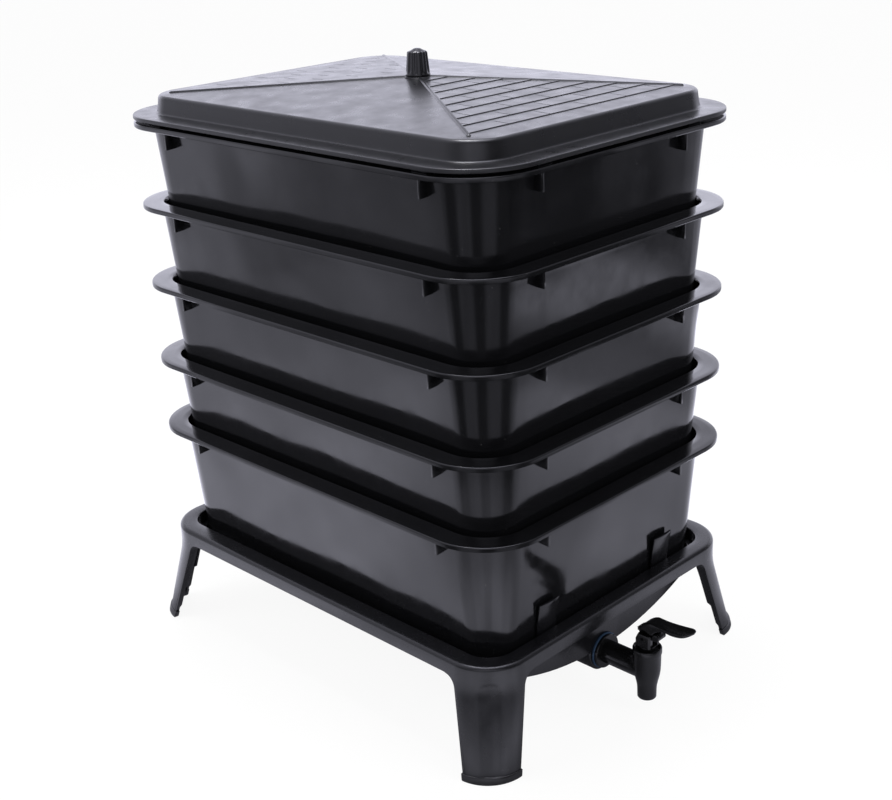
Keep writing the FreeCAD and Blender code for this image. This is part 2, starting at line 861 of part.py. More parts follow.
def tap_lever():
    """The lever: a cam in the fork that bears on the stem, and an arm that arches over to a dished paddle."""
    tip = (lever_length, lever_rise)
    top = pivot_height

    def beside_pivot(x, z):
        return vector(tap_x + x, -lever_paddle_width / 2, top + z)

    arch_start = polar((0, 0), lever_clear_radius + 2, 150)
    arm = prism(
        [
            arch_start,
            (8.0, 20.5, -4.5, 16.0),
            tip + (35.0, 22.6),
            (tip[0] - 1.0, tip[1] - lever_tip_thickness),
            (34.0, 16.5, 49.0, 18.2),
            polar((0, 0), lever_clear_radius + 1, 33) + (20.5, 13.0),
        ],
        vector(0, lever_paddle_width, 0),
        beside_pivot,
    )
    root = lever_root_width / 2
    wide = lever_paddle_width / 2
    plan = prism(
        [
            (-20.0, -root),
            (18.0, -root),
            (tip[0] - wide, -wide, 34.0, -root - 0.6),
            (tip[0] - wide, wide, tip[0], 0.0),
            (18.0, root, 34.0, root + 0.6),
            (-20.0, root),
        ],
        vector(0, 0, 2 * bonnet_high),
        lambda x, y: vector(tap_x + x, y, 0),
    )
    hood = arm.common(plan).cut(pivot_bore(lever_clear_radius))
    return fused([hood, cam()]).cut(pivot_bore(pin_radius + running_clearance))


def cam():
    """The lever's root in the fork. Its radius falls steadily round the part that turns onto the stem."""
    pivot = (0, 0)
    low = -90 - lever_turn
    neck = lever_clear_radius + 1.5
    small = cam_radius - stem_lift - cam_relief
    halfway = cam_radius - stem_lift / 2 - cam_relief
    points = [
        polar(pivot, cam_radius, -90) + polar(pivot, cam_radius, -45),
        polar(pivot, small, low) + polar(pivot, halfway, (low - 90) / 2),
        polar(pivot, neck, 140),
        polar(pivot, neck, 40) + polar(pivot, neck, 90),
        polar(pivot, cam_radius, 0),
    ]
    width = fork_gap - 2 * fork_clearance
    return prism(points, vector(0, width, 0), lambda x, z: vector(tap_x + x, -width / 2, pivot_height + z))


def tap_stem():
    """The stem, domed where the cam bears on it, with a button held in the seat cup."""
    top = pivot_height - cam_radius - seat_gap
    button_low = valve_seat + seat_gap + cup_height - 2 * cup_wall
    return turned_upright([
        (0, button_low),
        (stem_radius + 1, button_low),
        (stem_radius + 1, button_low + cup_wall),
        (stem_radius, button_low + cup_wall),
        (stem_radius, top - stem_radius),
        (0, top) + polar((0, top - stem_radius), stem_radius, 45),
    ], tap_x)


def tap_seat_cup():
    """The soft bell that closes the valve seat, gripped by the stem's button."""
    low = valve_seat + seat_gap
    high = low + cup_height
    body = turned_upright([
        (cup_radius - cup_wall, low),
        (cup_radius, low),
        (cup_radius, low + cup_wall),
        (cup_shoulder_radius, low + cup_shoulder),
        (cup_neck_radius, high - cup_wall),
        (cup_neck_radius, high),
        (0, high),
        (0, high - 2 * cup_wall),
        (cup_neck_radius - 1, high - 2 * cup_wall),
        (cup_shoulder_radius - cup_wall, low + cup_shoulder),
    ], tap_x)
    return body.cut(tap_stem())


def washer(start, end, radius):
    return sump(radius, start, end).cut(sump(thread_radius + thread_clearance, start - 1, end + 1))


def tap_nut():
    """The back nut that draws the tap's flange onto the dish."""
    end = dish_half_x - dish_wall - washer_thickness
    start = end - nut_thickness
    return lengthwise_hexagon(nut_width, start, end).cut(sump(thread_radius, start - 1, end + 1))


def save(name, shape):
    """Writes one solid, moved so that the origin is under the middle of the whole."""
    (solid,) = shape.Solids
    solid.translate(vector(stack_shift(), 0, 0))
    solid.exportStep("parts/" + name + ".step")
    print(name, round(solid.Volume / 1000, 1), "cm3", solid.isValid())


def main():
    os.makedirs("parts", exist_ok=True)
    save("stand", stand())
    save("sump_dish", sump_dish())
    for number, cap in enumerate(in_four_corners(foot_cap()), 1):
        save("foot_cap_" + str(number), cap)
    pitches = [lowest_pitch] + [tray_pitch] * (len(rims) - 1)
    for level, (rim, pitch) in enumerate(zip(rims, pitches)):
        save("tray_" + str(len(rims) - level), tray(rim, tray_depth - pitch))
    save("lid", lid())
    save("lid_knob", lid_knob())
    save("lid_knob_screw", lid_knob_screw())
    save("tap_body", tap_body())
    save("tap_bonnet", tap_bonnet())
    save("tap_lever", tap_lever())
    save("tap_lever_pin", tap_lever_pin())
    save("tap_stem", tap_stem())
    save("tap_seat_cup", tap_seat_cup())
    save("tap_washer_outer", washer(dish_half_x, flange_face, outer_washer_radius))
    inner_face = dish_half_x - dish_wall
    save("tap_washer_inner", washer(inner_face - washer_thickness, inner_face, inner_washer_radius))
    save("tap_nut", tap_nut())


main()
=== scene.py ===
"""The looks of a stacking worm composter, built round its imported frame."""
import math

import bmesh
import bpy
import numpy as np
from mathutils import Matrix, Vector

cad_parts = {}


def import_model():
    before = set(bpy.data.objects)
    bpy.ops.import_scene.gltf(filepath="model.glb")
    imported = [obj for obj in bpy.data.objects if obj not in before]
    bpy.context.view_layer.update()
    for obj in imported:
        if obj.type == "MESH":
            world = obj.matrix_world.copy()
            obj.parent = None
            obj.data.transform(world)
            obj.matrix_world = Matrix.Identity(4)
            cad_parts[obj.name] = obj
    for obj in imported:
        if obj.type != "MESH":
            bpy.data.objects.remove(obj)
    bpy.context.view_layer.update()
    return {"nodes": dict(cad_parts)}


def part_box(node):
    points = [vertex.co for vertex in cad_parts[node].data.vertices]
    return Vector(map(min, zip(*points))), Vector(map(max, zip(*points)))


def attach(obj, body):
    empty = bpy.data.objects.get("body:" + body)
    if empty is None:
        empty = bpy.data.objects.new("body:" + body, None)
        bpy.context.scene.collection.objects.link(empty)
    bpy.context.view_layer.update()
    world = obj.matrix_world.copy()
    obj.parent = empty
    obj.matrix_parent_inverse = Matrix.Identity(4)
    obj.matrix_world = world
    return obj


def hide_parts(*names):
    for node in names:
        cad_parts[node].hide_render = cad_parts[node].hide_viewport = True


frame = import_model()

# Sizes are in millimetres round the middle of the stack, as the maker would draw them.
MM = 0.001
tray_low, tray_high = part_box("tray_1")
STACK_X = (tray_low.x + tray_high.x) / 2 / MM

CORE = (218.0, 142.0)
CORNER = 72.0
TRAY_DEPTH = 150.0
TRAY_WALL = 2.5
DRAFT = math.tan(math.radians(5.3))
WALL_FACE = 50.5
FOOT_FACE = WALL_FACE - DRAFT * TRAY_DEPTH
RIMS = {"tray_5": 259.3, "tray_4": 345.3, "tray_3": 439.3, "tray_2": 533.3, "tray_1": 627.3}
NEST = {"tray_5": 64.0, "tray_4": 56.0, "tray_3": 56.0, "tray_2": 56.0, "tray_1": 56.0}
WEB_X, WEB_Y = 201.0, 113.0
RIB_X, RIB_Y = 209.0, 117.0
WEB_REACH, WEB_DROP = 8.2, 27.5
SEAT_EDGE = FOOT_FACE - 11.0
LID_BASE = 631.6
ROOF_EDGE, ROOF_PEAK = 23.2, 39.0
PANEL_OUT = 44.3
PANEL_LEAN = math.tan(math.radians(8.0))
LID_WALL, LID_FLANGE = 3.0, 3.5
EDGE_OUT = PANEL_OUT - PANEL_LEAN * (ROOF_EDGE - LID_FLANGE)
EDGE_X, EDGE_Y = CORE[0] + EDGE_OUT, CORE[1] + EDGE_OUT
STAND_CORE = (229.0, 159.0)
STAND_CORNER = 52.0
STAND_TOP = 123.5
STAND_WALL = 3.0
APRON_LOW = 106.0
OPENING_CORE = (230.0, 157.5)
LEG_SPLAY = (20.0, 25.0)
FOOT_CORNER = 45.0
DISH_HALF = (256.0, 183.5)
DISH_TOP = 109.0
DISH_LOW = 54.0
DISH_RADIUS = 390.0
DISH_FALL = 8.0
DISH_WALL = 3.0
TAP_X, TAP_Z = 317.0, 51.0
PIVOT_Z = 92.0


def polar(centre, radius, degrees):
    angle = math.radians(degrees)
    return (centre[0] + radius * math.cos(angle), centre[1] + radius * math.sin(angle))


def arc(centre, radius, start, end, steps):
    """Points on an arc, ends included."""
    return [polar(centre, radius, start + (end - start) * i / steps) for i in range(steps + 1)]


def arc_through(start, middle, end, steps):
    """Points on the arc through three points, ends included."""
    (x1, y1), (x2, y2), (x3, y3) = start, middle, end
    d = 2 * (x1 * (y2 - y3) + x2 * (y3 - y1) + x3 * (y1 - y2))
    s1, s2, s3 = x1 * x1 + y1 * y1, x2 * x2 + y2 * y2, x3 * x3 + y3 * y3
    cx = (s1 * (y2 - y3) + s2 * (y3 - y1) + s3 * (y1 - y2)) / d
    cy = (s1 * (x3 - x2) + s2 * (x1 - x3) + s3 * (x2 - x1)) / d
    radius = math.hypot(x1 - cx, y1 - cy)
    angles = [math.degrees(math.atan2(y - cy, x - cx)) for x, y in (start, middle, end)]
    a0, a1 = angles[0], angles[2]
    span = (a1 - a0) % 360
    if (angles[1] - a0) % 360 > span:
        span -= 360
    return arc((cx, cy), radius, a0, a0 + span, steps)


def resampled(points, count):
    """The same line with evenly spaced points."""
    points = np.array(points, float)
    travel = np.r_[0, np.cumsum(np.hypot(*np.diff(points, axis=0).T))]
    spots = np.linspace(0, travel[-1], count)
    return list(zip(np.interp(spots, travel, points[:, 0]), np.interp(spots, travel, points[:, 1])))


def rounded(corner, radius, start, end, steps):
    """The points that round a corner off, from the angle of one side's outward normal to the other's."""
    middle = (start + end) / 2
    reach = radius / math.cos(math.radians((end - start) / 2))
    return arc(polar(corner, -reach, middle), radius, start, end, steps)


def smooth_step(low, high, value):
    share = np.clip((np.asarray(value, float) - low) / (high - low), 0, 1)
    return share * share * (3 - 2 * share)


def columns(core, arc_steps, side_steps, marks=(), extra_angles=()):
    """Stations round a rounded rectangle: share of the core's half length and width, and outward normal."""
    found = []
    turns = [(1, 1), (-1, 1), (-1, -1), (1, -1)]
    angles = sorted(set([90.0 * i / arc_steps for i in range(arc_steps + 1)]) | set(extra_angles))
    for step, (sign_x, sign_y) in enumerate(turns):
        span = angles if step % 2 == 0 else [90 - a for a in reversed(angles)]
        for a in span:
            angle = math.radians(90 * step + a)
            found.append((sign_x, sign_y, math.cos(angle), math.sin(angle)))
        next_x, next_y = turns[(step + 1) % 4]
        length = 2 * (core[0] if sign_x != next_x else core[1])
        inner = max(marks, default=0)
        spots = list(marks) + [length - d for d in marks]
        spots += [inner + (length - 2 * inner) * i / side_steps for i in range(1, side_steps)]
        for spot in sorted(spots):
            share = spot / length
            x = sign_x + (next_x - sign_x) * share
            y = sign_y + (next_y - sign_y) * share
            found.append((x, y, found[-1][2], found[-1][3]))
    return np.array(found)


def loop(cols, core, out, z):
    """One loop of points round a core, at a distance out from it and a height. Both may vary by column."""
    out = np.broadcast_to(out, len(cols))
    x = cols[:, 0] * core[0] + out * cols[:, 2]
    y = cols[:, 1] * core[1] + out * cols[:, 3]
    return np.column_stack([x, y, np.broadcast_to(z, len(cols))])


class Moulding:
    """The points and faces of one piece, in millimetres round the middle of the stack."""

    def __init__(self):
        self.points = []
        self.faces = []

    def rows(self, rows, wrap=True, caps=False):
        """Joins rows of points by quads. wrap closes each row into a ring, and caps fills both end rings."""
        start, width, count = len(self.points), len(rows[0]), len(rows)
        for row in rows:
            self.points.extend(tuple(map(float, p)) for p in row)
        for i in range(count - 1):
            a, b = start + i * width, start + (i + 1) * width
            for j in range(width if wrap else width - 1):
                k = (j + 1) % width
                self.faces.append((a + j, a + k, b + k, b + j))
        if caps:
            self.faces.append(tuple(range(start, start + width))[::-1])
            self.faces.append(tuple(range(start + (count - 1) * width, start + count * width)))
        return self

    def prism(self, outline, place, travel):
        """A plane outline carried along a straight line."""
        near = np.array([place(*p) for p in outline], float)
        return self.rows([near, near + np.array(travel, float)], caps=True)

    def turned(self, section, place, steps):
        """A section of (radius, height) points turned about an axis. place sets a point (x, y, height)."""
        rows = []
        for radius, height in section:
            angles = [2 * math.pi * i / steps for i in range(steps)]
            rows.append([place(radius * math.cos(a), radius * math.sin(a), height) for a in angles])
        return self.rows(rows)

    def mesh(self, name, middle=STACK_X):
        data = bpy.data.meshes.new(name)
        shift = Vector((middle, 0, 0))
        data.from_pydata([(Vector(p) + shift) * MM for p in self.points], [], self.faces)
        shape = bmesh.new()
        shape.from_mesh(data)
        bmesh.ops.remove_doubles(shape, verts=shape.verts, dist=0.002 * MM)
        bmesh.ops.dissolve_degenerate(shape, edges=shape.edges, dist=0.001 * MM)
        bmesh.ops.recalc_face_normals(shape, faces=shape.faces)
        shape.to_mesh(data)
        shape.free()
        return data


def upright(x=0.0):
    """Stands a section's axis up at a place along the part."""
    return lambda across, along, height: (x + across, along, height)


def lengthwise(z):
    """Lays a section's axis along the part's length at a height."""
    return lambda across, along, height: (height, across, z + along)


def settled(obj):
    """Turns an object with modifiers into a plain mesh."""
    graph = bpy.context.evaluated_depsgraph_get()
    plain = bpy.data.meshes.new_from_object(obj.evaluated_get(graph))
    obj.modifiers.clear()
    obj.data = plain
    return obj


def put(name, data, material=None):
    obj = bpy.data.objects.new(name, data)
    bpy.context.scene.collection.objects.link(obj)
    if material:
        data.materials.clear()
        data.materials.append(material)
    return obj


def softened(obj, width, segments=2, limit=40):
    """Rounds an object's sharp edges off."""
    bevel = obj.modifiers.new("edges", "BEVEL")
    bevel.width = width * MM
    bevel.segments = segments
    bevel.limit_method = "ANGLE"
    bevel.angle_limit = math.radians(limit)
    return settled(obj)


def with_geometry_nodes(obj, tree, values):
    """Gives an object a geometry node tree, sets its inputs by name and makes the result a plain mesh."""
    modifier = obj.modifiers.new(tree.name, "NODES")
    modifier.node_group = tree
    for item in tree.interface.items_tree:
        if item.item_type == "SOCKET" and item.in_out == "INPUT" and item.name in values:
            modifier[item.identifier] = values[item.name]
    return settled(obj)


def joined(main, others):
    """Adds the meshes of other objects, with their finishes, to the main one and removes the others."""
    shape = bmesh.new()
    shape.from_mesh(main.data)
    finishes = [main.data.materials[0]]
    for face in shape.faces:
        face.material_index = 0
    for other in others:
        count = len(shape.faces)
        shape.from_mesh(other.data)
        finish = other.data.materials[0]
        if finish not in finishes:
            finishes.append(finish)
            main.data.materials.append(finish)
        for face in list(shape.faces)[count:]:
            face.material_index = finishes.index(finish)
        bpy.data.objects.remove(other)
    shape.to_mesh(main.data)
    shape.free()
    return main


def fit_out(obj, body, nodes, crease=32):
    """Shades a finished piece, hangs it on its body and lets it stand for its nodes."""
    for face in obj.data.polygons:
        face.use_smooth = True
    obj.data.set_sharp_from_angle(angle=math.radians(crease))
    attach(obj, body)
    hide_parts(*nodes)
    return obj


# Node trees

class Value:
    """A number in a node tree. Sums written with it become math nodes."""

    def __init__(self, tree, socket):
        self.tree = tree
        self.socket = socket

    def math(self, operation, *others):
        inputs = dict(enumerate((self, *others)))
        return Value(self.tree, node(self.tree, "ShaderNodeMath", inputs, operation=operation).outputs[0])

    def __add__(self, other):
        return self.math("ADD", other)

    def __sub__(self, other):
        return self.math("SUBTRACT", other)

    def __rsub__(self, other):
        sum_node = node(self.tree, "ShaderNodeMath", {0: other, 1: self}, operation="SUBTRACT")
        return Value(self.tree, sum_node.outputs[0])

    def __mul__(self, other):
        return self.math("MULTIPLY", other)

    def __truediv__(self, other):
        return self.math("DIVIDE", other)

    def mapped(self, low, high, to_low, to_high, way="LINEAR"):
        """Carries one range over to another, and stays at its ends outside."""
        made = node(self.tree, "ShaderNodeMapRange", {
            "Value": self, "From Min": low, "From Max": high, "To Min": to_low, "To Max": to_high,
        }, interpolation_type=way)
        return Value(self.tree, made.outputs["Result"])

    def eased(self, low, high, to_low, to_high):
        """As mapped, with soft ends."""
        return self.mapped(low, high, to_low, to_high, "SMOOTHSTEP")

    def graded(self, steps):
        """A smooth curve through (value, result) points."""
        low, high = steps[0][0], steps[-1][0]
        most = max(result for _, result in steps)
        made = node(self.tree, "ShaderNodeFloatCurve", {"Value": (self - low) / (high - low)})
        made.mapping.extend = "HORIZONTAL"
        line = made.mapping.curves[0]
        while len(line.points) < len(steps):
            line.points.new(0.5, 0.5)
        for point, (spot, result) in zip(line.points, steps):
            point.location = ((spot - low) / (high - low), result / most)
        made.mapping.update()
        return Value(self.tree, made.outputs[0]) * most


def node(tree, kind, links=None, **settings):
    """A node with its settings, and its inputs linked from sockets or set to values."""
    made = tree.nodes.new(kind)
    for key, value in settings.items():
        setattr(made, key, value)
    for key, value in (links or {}).items():
        if isinstance(value, Value):
            value = value.socket
        if isinstance(value, bpy.types.NodeSocket):
            tree.links.new(value, made.inputs[key])
        else:
            made.inputs[key].default_value = value
    return made


def mixed(tree, share, first, second):
    """The colour that goes from first to second as the share goes from 0 to 1."""
    return node(tree, "ShaderNodeMix", {0: share, 6: first, 7: second}, data_type="RGBA").outputs[2]


def blended(share, first, second):
    """The number that goes from first to second as the share goes from 0 to 1."""
    inputs = {0: share, 2: first, 3: second}
    return Value(share.tree, node(share.tree, "ShaderNodeMix", inputs, data_type="FLOAT").outputs[0])


def length_of(first, second):
    """The length of a flat vector in a node tree."""
    return (first * first + second * second).math("SQRT")


def new_tree(name, sockets):
    """An empty geometry node tree and its inputs by name. Sockets are (name, type) or (name, type, value)."""
    tree = bpy.data.node_groups.new(name, "GeometryNodeTree")
    tree.interface.new_socket("Geometry", in_out="INPUT", socket_type="NodeSocketGeometry")
    tree.interface.new_socket("Geometry", in_out="OUTPUT", socket_type="NodeSocketGeometry")
    for socket_name, kind, *value in sockets:
        socket = tree.interface.new_socket(socket_name, in_out="INPUT", socket_type="NodeSocket" + kind)
        if value:
            socket.default_value = value[0]
    entry = tree.nodes.new("NodeGroupInput")
    return tree, {socket.name: Value(tree, socket) for socket in entry.outputs if socket.name}


def copied(tree, points, shape, turn=(0, 0, 0)):
    """Real copies of a shape on every point."""
    spots = {"Points": points, "Instance": shape, "Rotation": turn}
    copies = node(tree, "GeometryNodeInstanceOnPoints", spots)
    return node(tree, "GeometryNodeRealizeInstances", {"Geometry": copies.outputs[0]}).outputs[0]


def closed(tree, size, geometry):
    """Gives the tree's result its material and hands it on."""
    finish = node(tree, "GeometryNodeSetMaterial", {"Geometry": geometry, "Material": size["Material"]})
    tree.links.new(finish.outputs[0], tree.nodes.new("NodeGroupOutput").inputs[0])
    return tree


def drain_slots_tree():
    """Cuts a grid of round-ended slots through a tray's floor. Lengths are in metres."""
    tree, size = new_tree("drain_slots", [
        ("Columns", "Int", 6), ("Rows", "Int", 4), ("Pitch X", "Float", 0.072), ("Pitch Y", "Float", 0.072),
        ("Slot Length", "Float", 0.044), ("Slot Width", "Float", 0.007), ("Cut Depth", "Float", 0.008),
        ("Middle", "Vector"), ("Material", "Material"),
    ])
    grid = node(tree, "GeometryNodeMeshGrid", {
        "Size X": (size["Columns"] - 1.0) * size["Pitch X"], "Vertices X": size["Columns"],
        "Size Y": (size["Rows"] - 1.0) * size["Pitch Y"], "Vertices Y": size["Rows"],
    })
    centred = {"Geometry": grid.outputs["Mesh"], "Offset": size["Middle"]}
    placed = node(tree, "GeometryNodeSetPosition", centred)
    sides = {0: size["Slot Length"], 1: size["Slot Width"]}
    outline = node(tree, "GeometryNodeCurvePrimitiveQuadrilateral", sides)
    round_ends = {"Curve": outline.outputs[0], "Radius": size["Slot Width"] * 0.48, "Count": 4}
    ends = node(tree, "GeometryNodeFilletCurve", round_ends, mode="POLY")
    low, high = (node(tree, "ShaderNodeCombineXYZ", {"Z": size["Cut Depth"] * half}) for half in (-0.5, 0.5))
    line = node(tree, "GeometryNodeCurvePrimitiveLine", {"Start": low.outputs[0], "End": high.outputs[0]})
    cutter = node(tree, "GeometryNodeCurveToMesh", {
        "Curve": line.outputs[0], "Profile Curve": ends.outputs[0], "Fill Caps": True,
    })
    cutters = copied(tree, placed.outputs[0], cutter.outputs[0])
    shapes = {"Mesh 1": size["Geometry"], "Mesh 2": cutters}
    cut = node(tree, "GeometryNodeMeshBoolean", shapes, operation="DIFFERENCE", solver="EXACT")
    return closed(tree, size, cut.outputs[0])


def fins_tree():
    """Sets copies of one fin on points, each turned to face out of its own side."""
    tree, size = new_tree("fins", [("Fin", "Object"), ("Material", "Material")])
    fin = node(tree, "GeometryNodeObjectInfo", {"Object": size["Fin"]})
    turn = node(tree, "GeometryNodeInputNamedAttribute", {"Name": "turn"}, data_type="FLOAT")
    way = node(tree, "ShaderNodeCombineXYZ", {"Z": turn.outputs["Attribute"]})
    return closed(tree, size, copied(tree, size["Geometry"], fin.outputs["Geometry"], way.outputs[0]))


def shingles_tree():
    """Lays staggered courses of shingles on a slope and trims them to its outline."""
    tree, size = new_tree("shingles", [
        ("Shingle", "Object"), ("Slope", "Object"), ("Rows", "Int"), ("Columns", "Int"), ("Pitch", "Float"),
        ("Width", "Float"), ("First", "Float"), ("Fall", "Float"), ("Peak", "Float"), ("Middle", "Float"),
        ("Side", "Float"), ("Material", "Material"),
    ])
    deep = (size["Rows"] - 1.0) * size["Pitch"]
    grid = node(tree, "GeometryNodeMeshGrid", {
        "Size X": deep, "Vertices X": size["Rows"],
        "Size Y": (size["Columns"] - 1.0) * size["Width"], "Vertices Y": size["Columns"],
    })
    spot = node(tree, "ShaderNodeSeparateXYZ", {0: node(tree, "GeometryNodeInputPosition").outputs[0]})
    along = deep * 0.5 + spot.outputs["X"]
    odd = (along / size["Pitch"]).math("ROUND").math("MODULO", 2.0)
    distance = along + size["First"]
    place = node(tree, "ShaderNodeCombineXYZ", {
        "X": distance * size["Side"] + size["Middle"],
        "Y": (odd - 0.5) * (size["Width"] * 0.5) + spot.outputs["Y"],
        "Z": size["Peak"] - distance * size["Fall"],
    })
    at = {"Geometry": grid.outputs["Mesh"], "Position": place.outputs[0]}
    placed = node(tree, "GeometryNodeSetPosition", at)
    shingle = node(tree, "GeometryNodeObjectInfo", {"Object": size["Shingle"]})
    turn = node(tree, "ShaderNodeCombineXYZ", {"Z": (1.0 - size["Side"]) * (math.pi / 2)})
    laid = copied(tree, placed.outputs[0], shingle.outputs["Geometry"], turn.outputs[0])
    slope = node(tree, "GeometryNodeObjectInfo", {"Object": size["Slope"]})
    shapes = {"Self Intersection": True, "Mesh 2": laid}
    trim = node(tree, "GeometryNodeMeshBoolean", shapes, operation="INTERSECT", solver="EXACT")
    tree.links.new(slope.outputs["Geometry"], trim.inputs["Mesh 2"])
    return closed(tree, size, trim.outputs[0])


# Finishes

DUST_COLOUR = (0.30, 0.30, 0.31, 1)


def plastic(name, colour, roughness, grain=0.0, sag=0.0, mottle=0.12, specks=0.0, streaks=0.0, wood=0.0):
    """Moulded plastic: mottled tone, uneven gloss, a little dust and rubbed streaks, and as relief slow sink
    marks, a fine grain and a moulded-in wood grain. Reliefs are in millimetres."""
    material = bpy.data.materials.new(name)
    material.use_nodes = True
    tree = material.node_tree
    shader = tree.nodes["Principled BSDF"]
    where = node(tree, "ShaderNodeTexCoord").outputs["Object"]

    def noise(scale, detail, stretch=(1, 1, 1), rough=0.55):
        spread = node(tree, "ShaderNodeMapping", {"Vector": where, "Scale": stretch}).outputs[0]
        made = node(tree, "ShaderNodeTexNoise", {
            "Vector": spread, "Scale": scale, "Detail": detail, "Roughness": rough,
        })
        return Value(tree, made.outputs["Fac"])

    dark, light = ([c * (1 + change) for c in colour] + [1] for change in (-mottle, mottle))
    shade = mixed(tree, noise(7.0, 4.0).mapped(0.3, 0.7, 0.0, 1.0), dark, light)
    gloss = noise(38.0, 5.0).mapped(0.3, 0.7, -0.05, 0.06) + roughness
    if specks:
        cells = node(tree, "ShaderNodeTexVoronoi", {"Vector": where, "Scale": 240.0})
        near = Value(tree, cells.outputs["Distance"]).mapped(0.0, 0.16, 1.0, 0.0)
        dust = near * noise(55.0, 2.0).mapped(0.60, 0.72, 0.0, 1.0) * specks
        shade = mixed(tree, dust, shade, DUST_COLOUR)
        gloss = gloss + dust * 0.5
    if streaks:
        gloss = gloss + noise(26.0, 6.0, (1, 1, 0.06), 0.7).mapped(0.55, 0.75, 0.0, streaks)
    tree.links.new(shade, shader.inputs["Base Color"])
    tree.links.new(gloss.socket, shader.inputs["Roughness"])
    normal = None
    reliefs = ((sag, (5.0, 1.5)), (grain, (1400.0, 2.0)), (wood, (170.0, 3.0, (1, 0.07, 1), 0.6)))
    for depth, pattern in reliefs:
        if depth:
            relief = {"Height": noise(*pattern), "Strength": 1.0, "Distance": depth * MM}
            bump = node(tree, "ShaderNodeBump", relief)
            if normal:
                tree.links.new(normal, bump.inputs["Normal"])
            normal = bump.outputs[0]
    if normal:
        tree.links.new(normal, shader.inputs["Normal"])
    return material


TRAY_FINISH = plastic("tray_polypropylene", [0.0050, 0.0051, 0.0060], 0.12, sag=6.0, specks=0.5, streaks=0.06)
LID_LOOK = {"colour": [0.0075, 0.0076, 0.0090], "roughness": 0.30, "grain": 0.03, "sag": 0.35, "specks": 0.4}
LID_FINISH = plastic("lid_polypropylene", **LID_LOOK)
SHINGLE_FINISH = plastic("lid_shingle_polypropylene", wood=0.10, **LID_LOOK)
STAND_FINISH = plastic("stand_polypropylene", [0.0065, 0.0066, 0.0080], 0.24, grain=0.02, sag=1.5, specks=0.3)
DISH_FINISH = plastic("dish_polypropylene", [0.0050, 0.0051, 0.0062], 0.24, grain=0.01, sag=1.5, specks=0.3)
FOOT_FINISH = plastic("foot_cap_plastic", [0.0060, 0.0060, 0.0070], 0.34, grain=0.02)
KNOB_FINISH = plastic("knob_plastic", [0.0050, 0.0050, 0.0062], 0.22, specks=0.2)
TAP_FINISH = plastic("tap_plastic", [0.0050, 0.0050, 0.0056], 0.17, grain=0.01, sag=0.1, specks=0.2)
TAP_FINISH.node_tree.nodes["Principled BSDF"].inputs["Specular IOR Level"].default_value = 0.34
BLUE_FINISH = plastic("washer_blue_rubber", [0.016, 0.042, 0.090], 0.50, grain=0.02)
BLACK_FINISH = plastic("washer_black_rubber", [0.025, 0.025, 0.025], 0.6, grain=0.02)
CUP_FINISH = plastic("cup_silicone", [0.55, 0.55, 0.52], 0.5)
STEEL_FINISH = plastic("zinc_plated_steel", [0.60, 0.60, 0.61], 0.32, grain=0.01, mottle=0.06)
STEEL_FINISH.node_tree.nodes["Principled BSDF"].inputs["Metallic"].default_value = 1.0


# Trays

def fin_spots(core, along_x=RIB_X, along_y=RIB_Y):
    """The place of each of the eight fins round a core, and the turn that faces it out of its side."""
    spots = []
    for sign in (-1, 1):
        spots += [(core[0], sign * along_y, 0), (sign * along_x, core[1], 90)]
        spots += [(-core[0], sign * along_y, 180), (sign * along_x, -core[1], 270)]
    return spots


def fins(profile, thickness, spots, height, material):
    """Copies of a fin with the same (out, height) profile on every spot."""
    fin = Moulding().prism(profile, lambda out, z: (out, -thickness / 2, z), (0, thickness, 0))
    seed = put("fin", fin.mesh("fin", 0.0), material)
    softened(seed, 0.35)
    points = bpy.data.meshes.new("spots")
    points.from_pydata([((x + STACK_X) * MM, y * MM, height * MM) for x, y, turn in spots], [], [])
    turns = points.attributes.new("turn", "FLOAT", "POINT")
    turns.data.foreach_set("value", [math.radians(turn) for x, y, turn in spots])
    made = with_geometry_nodes(put("fins", points), FINS, {"Fin": seed, "Material": material})
    bpy.data.objects.remove(seed)
    return made


def sag_of(cols, seed, depth):
    """How far a wall stands in from its plane: a slow bow along each side and a shallow wave, in mm."""
    draw = np.random.default_rng(seed)
    steps = np.diff(loop(cols, CORE, WALL_FACE, 0)[:, :2], axis=0, prepend=[(0, 0)])
    travel = np.cumsum(np.hypot(*steps.T))
    along = np.where(np.abs(cols[:, 2]) > 0.9, cols[:, 1], cols[:, 0])
    side = np.maximum(1 - along ** 2, 0)
    flat = smooth_step(0.98, 1.0, np.maximum(np.abs(cols[:, 2]), np.abs(cols[:, 3])))
    wave = sum(np.sin(travel / draw.uniform(60, 150) + draw.uniform(0, 6.3)) for _ in range(3))
    belly = np.sin(math.pi * np.clip(depth / TRAY_DEPTH, 0, 1)) ** 0.8
    return belly * flat * (1.1 * side + 0.16 * wave)


def wall_face(drop):
    """How far a tray's wall stands out of its core, at a drop below the flange's top."""
    return WALL_FACE - DRAFT * drop


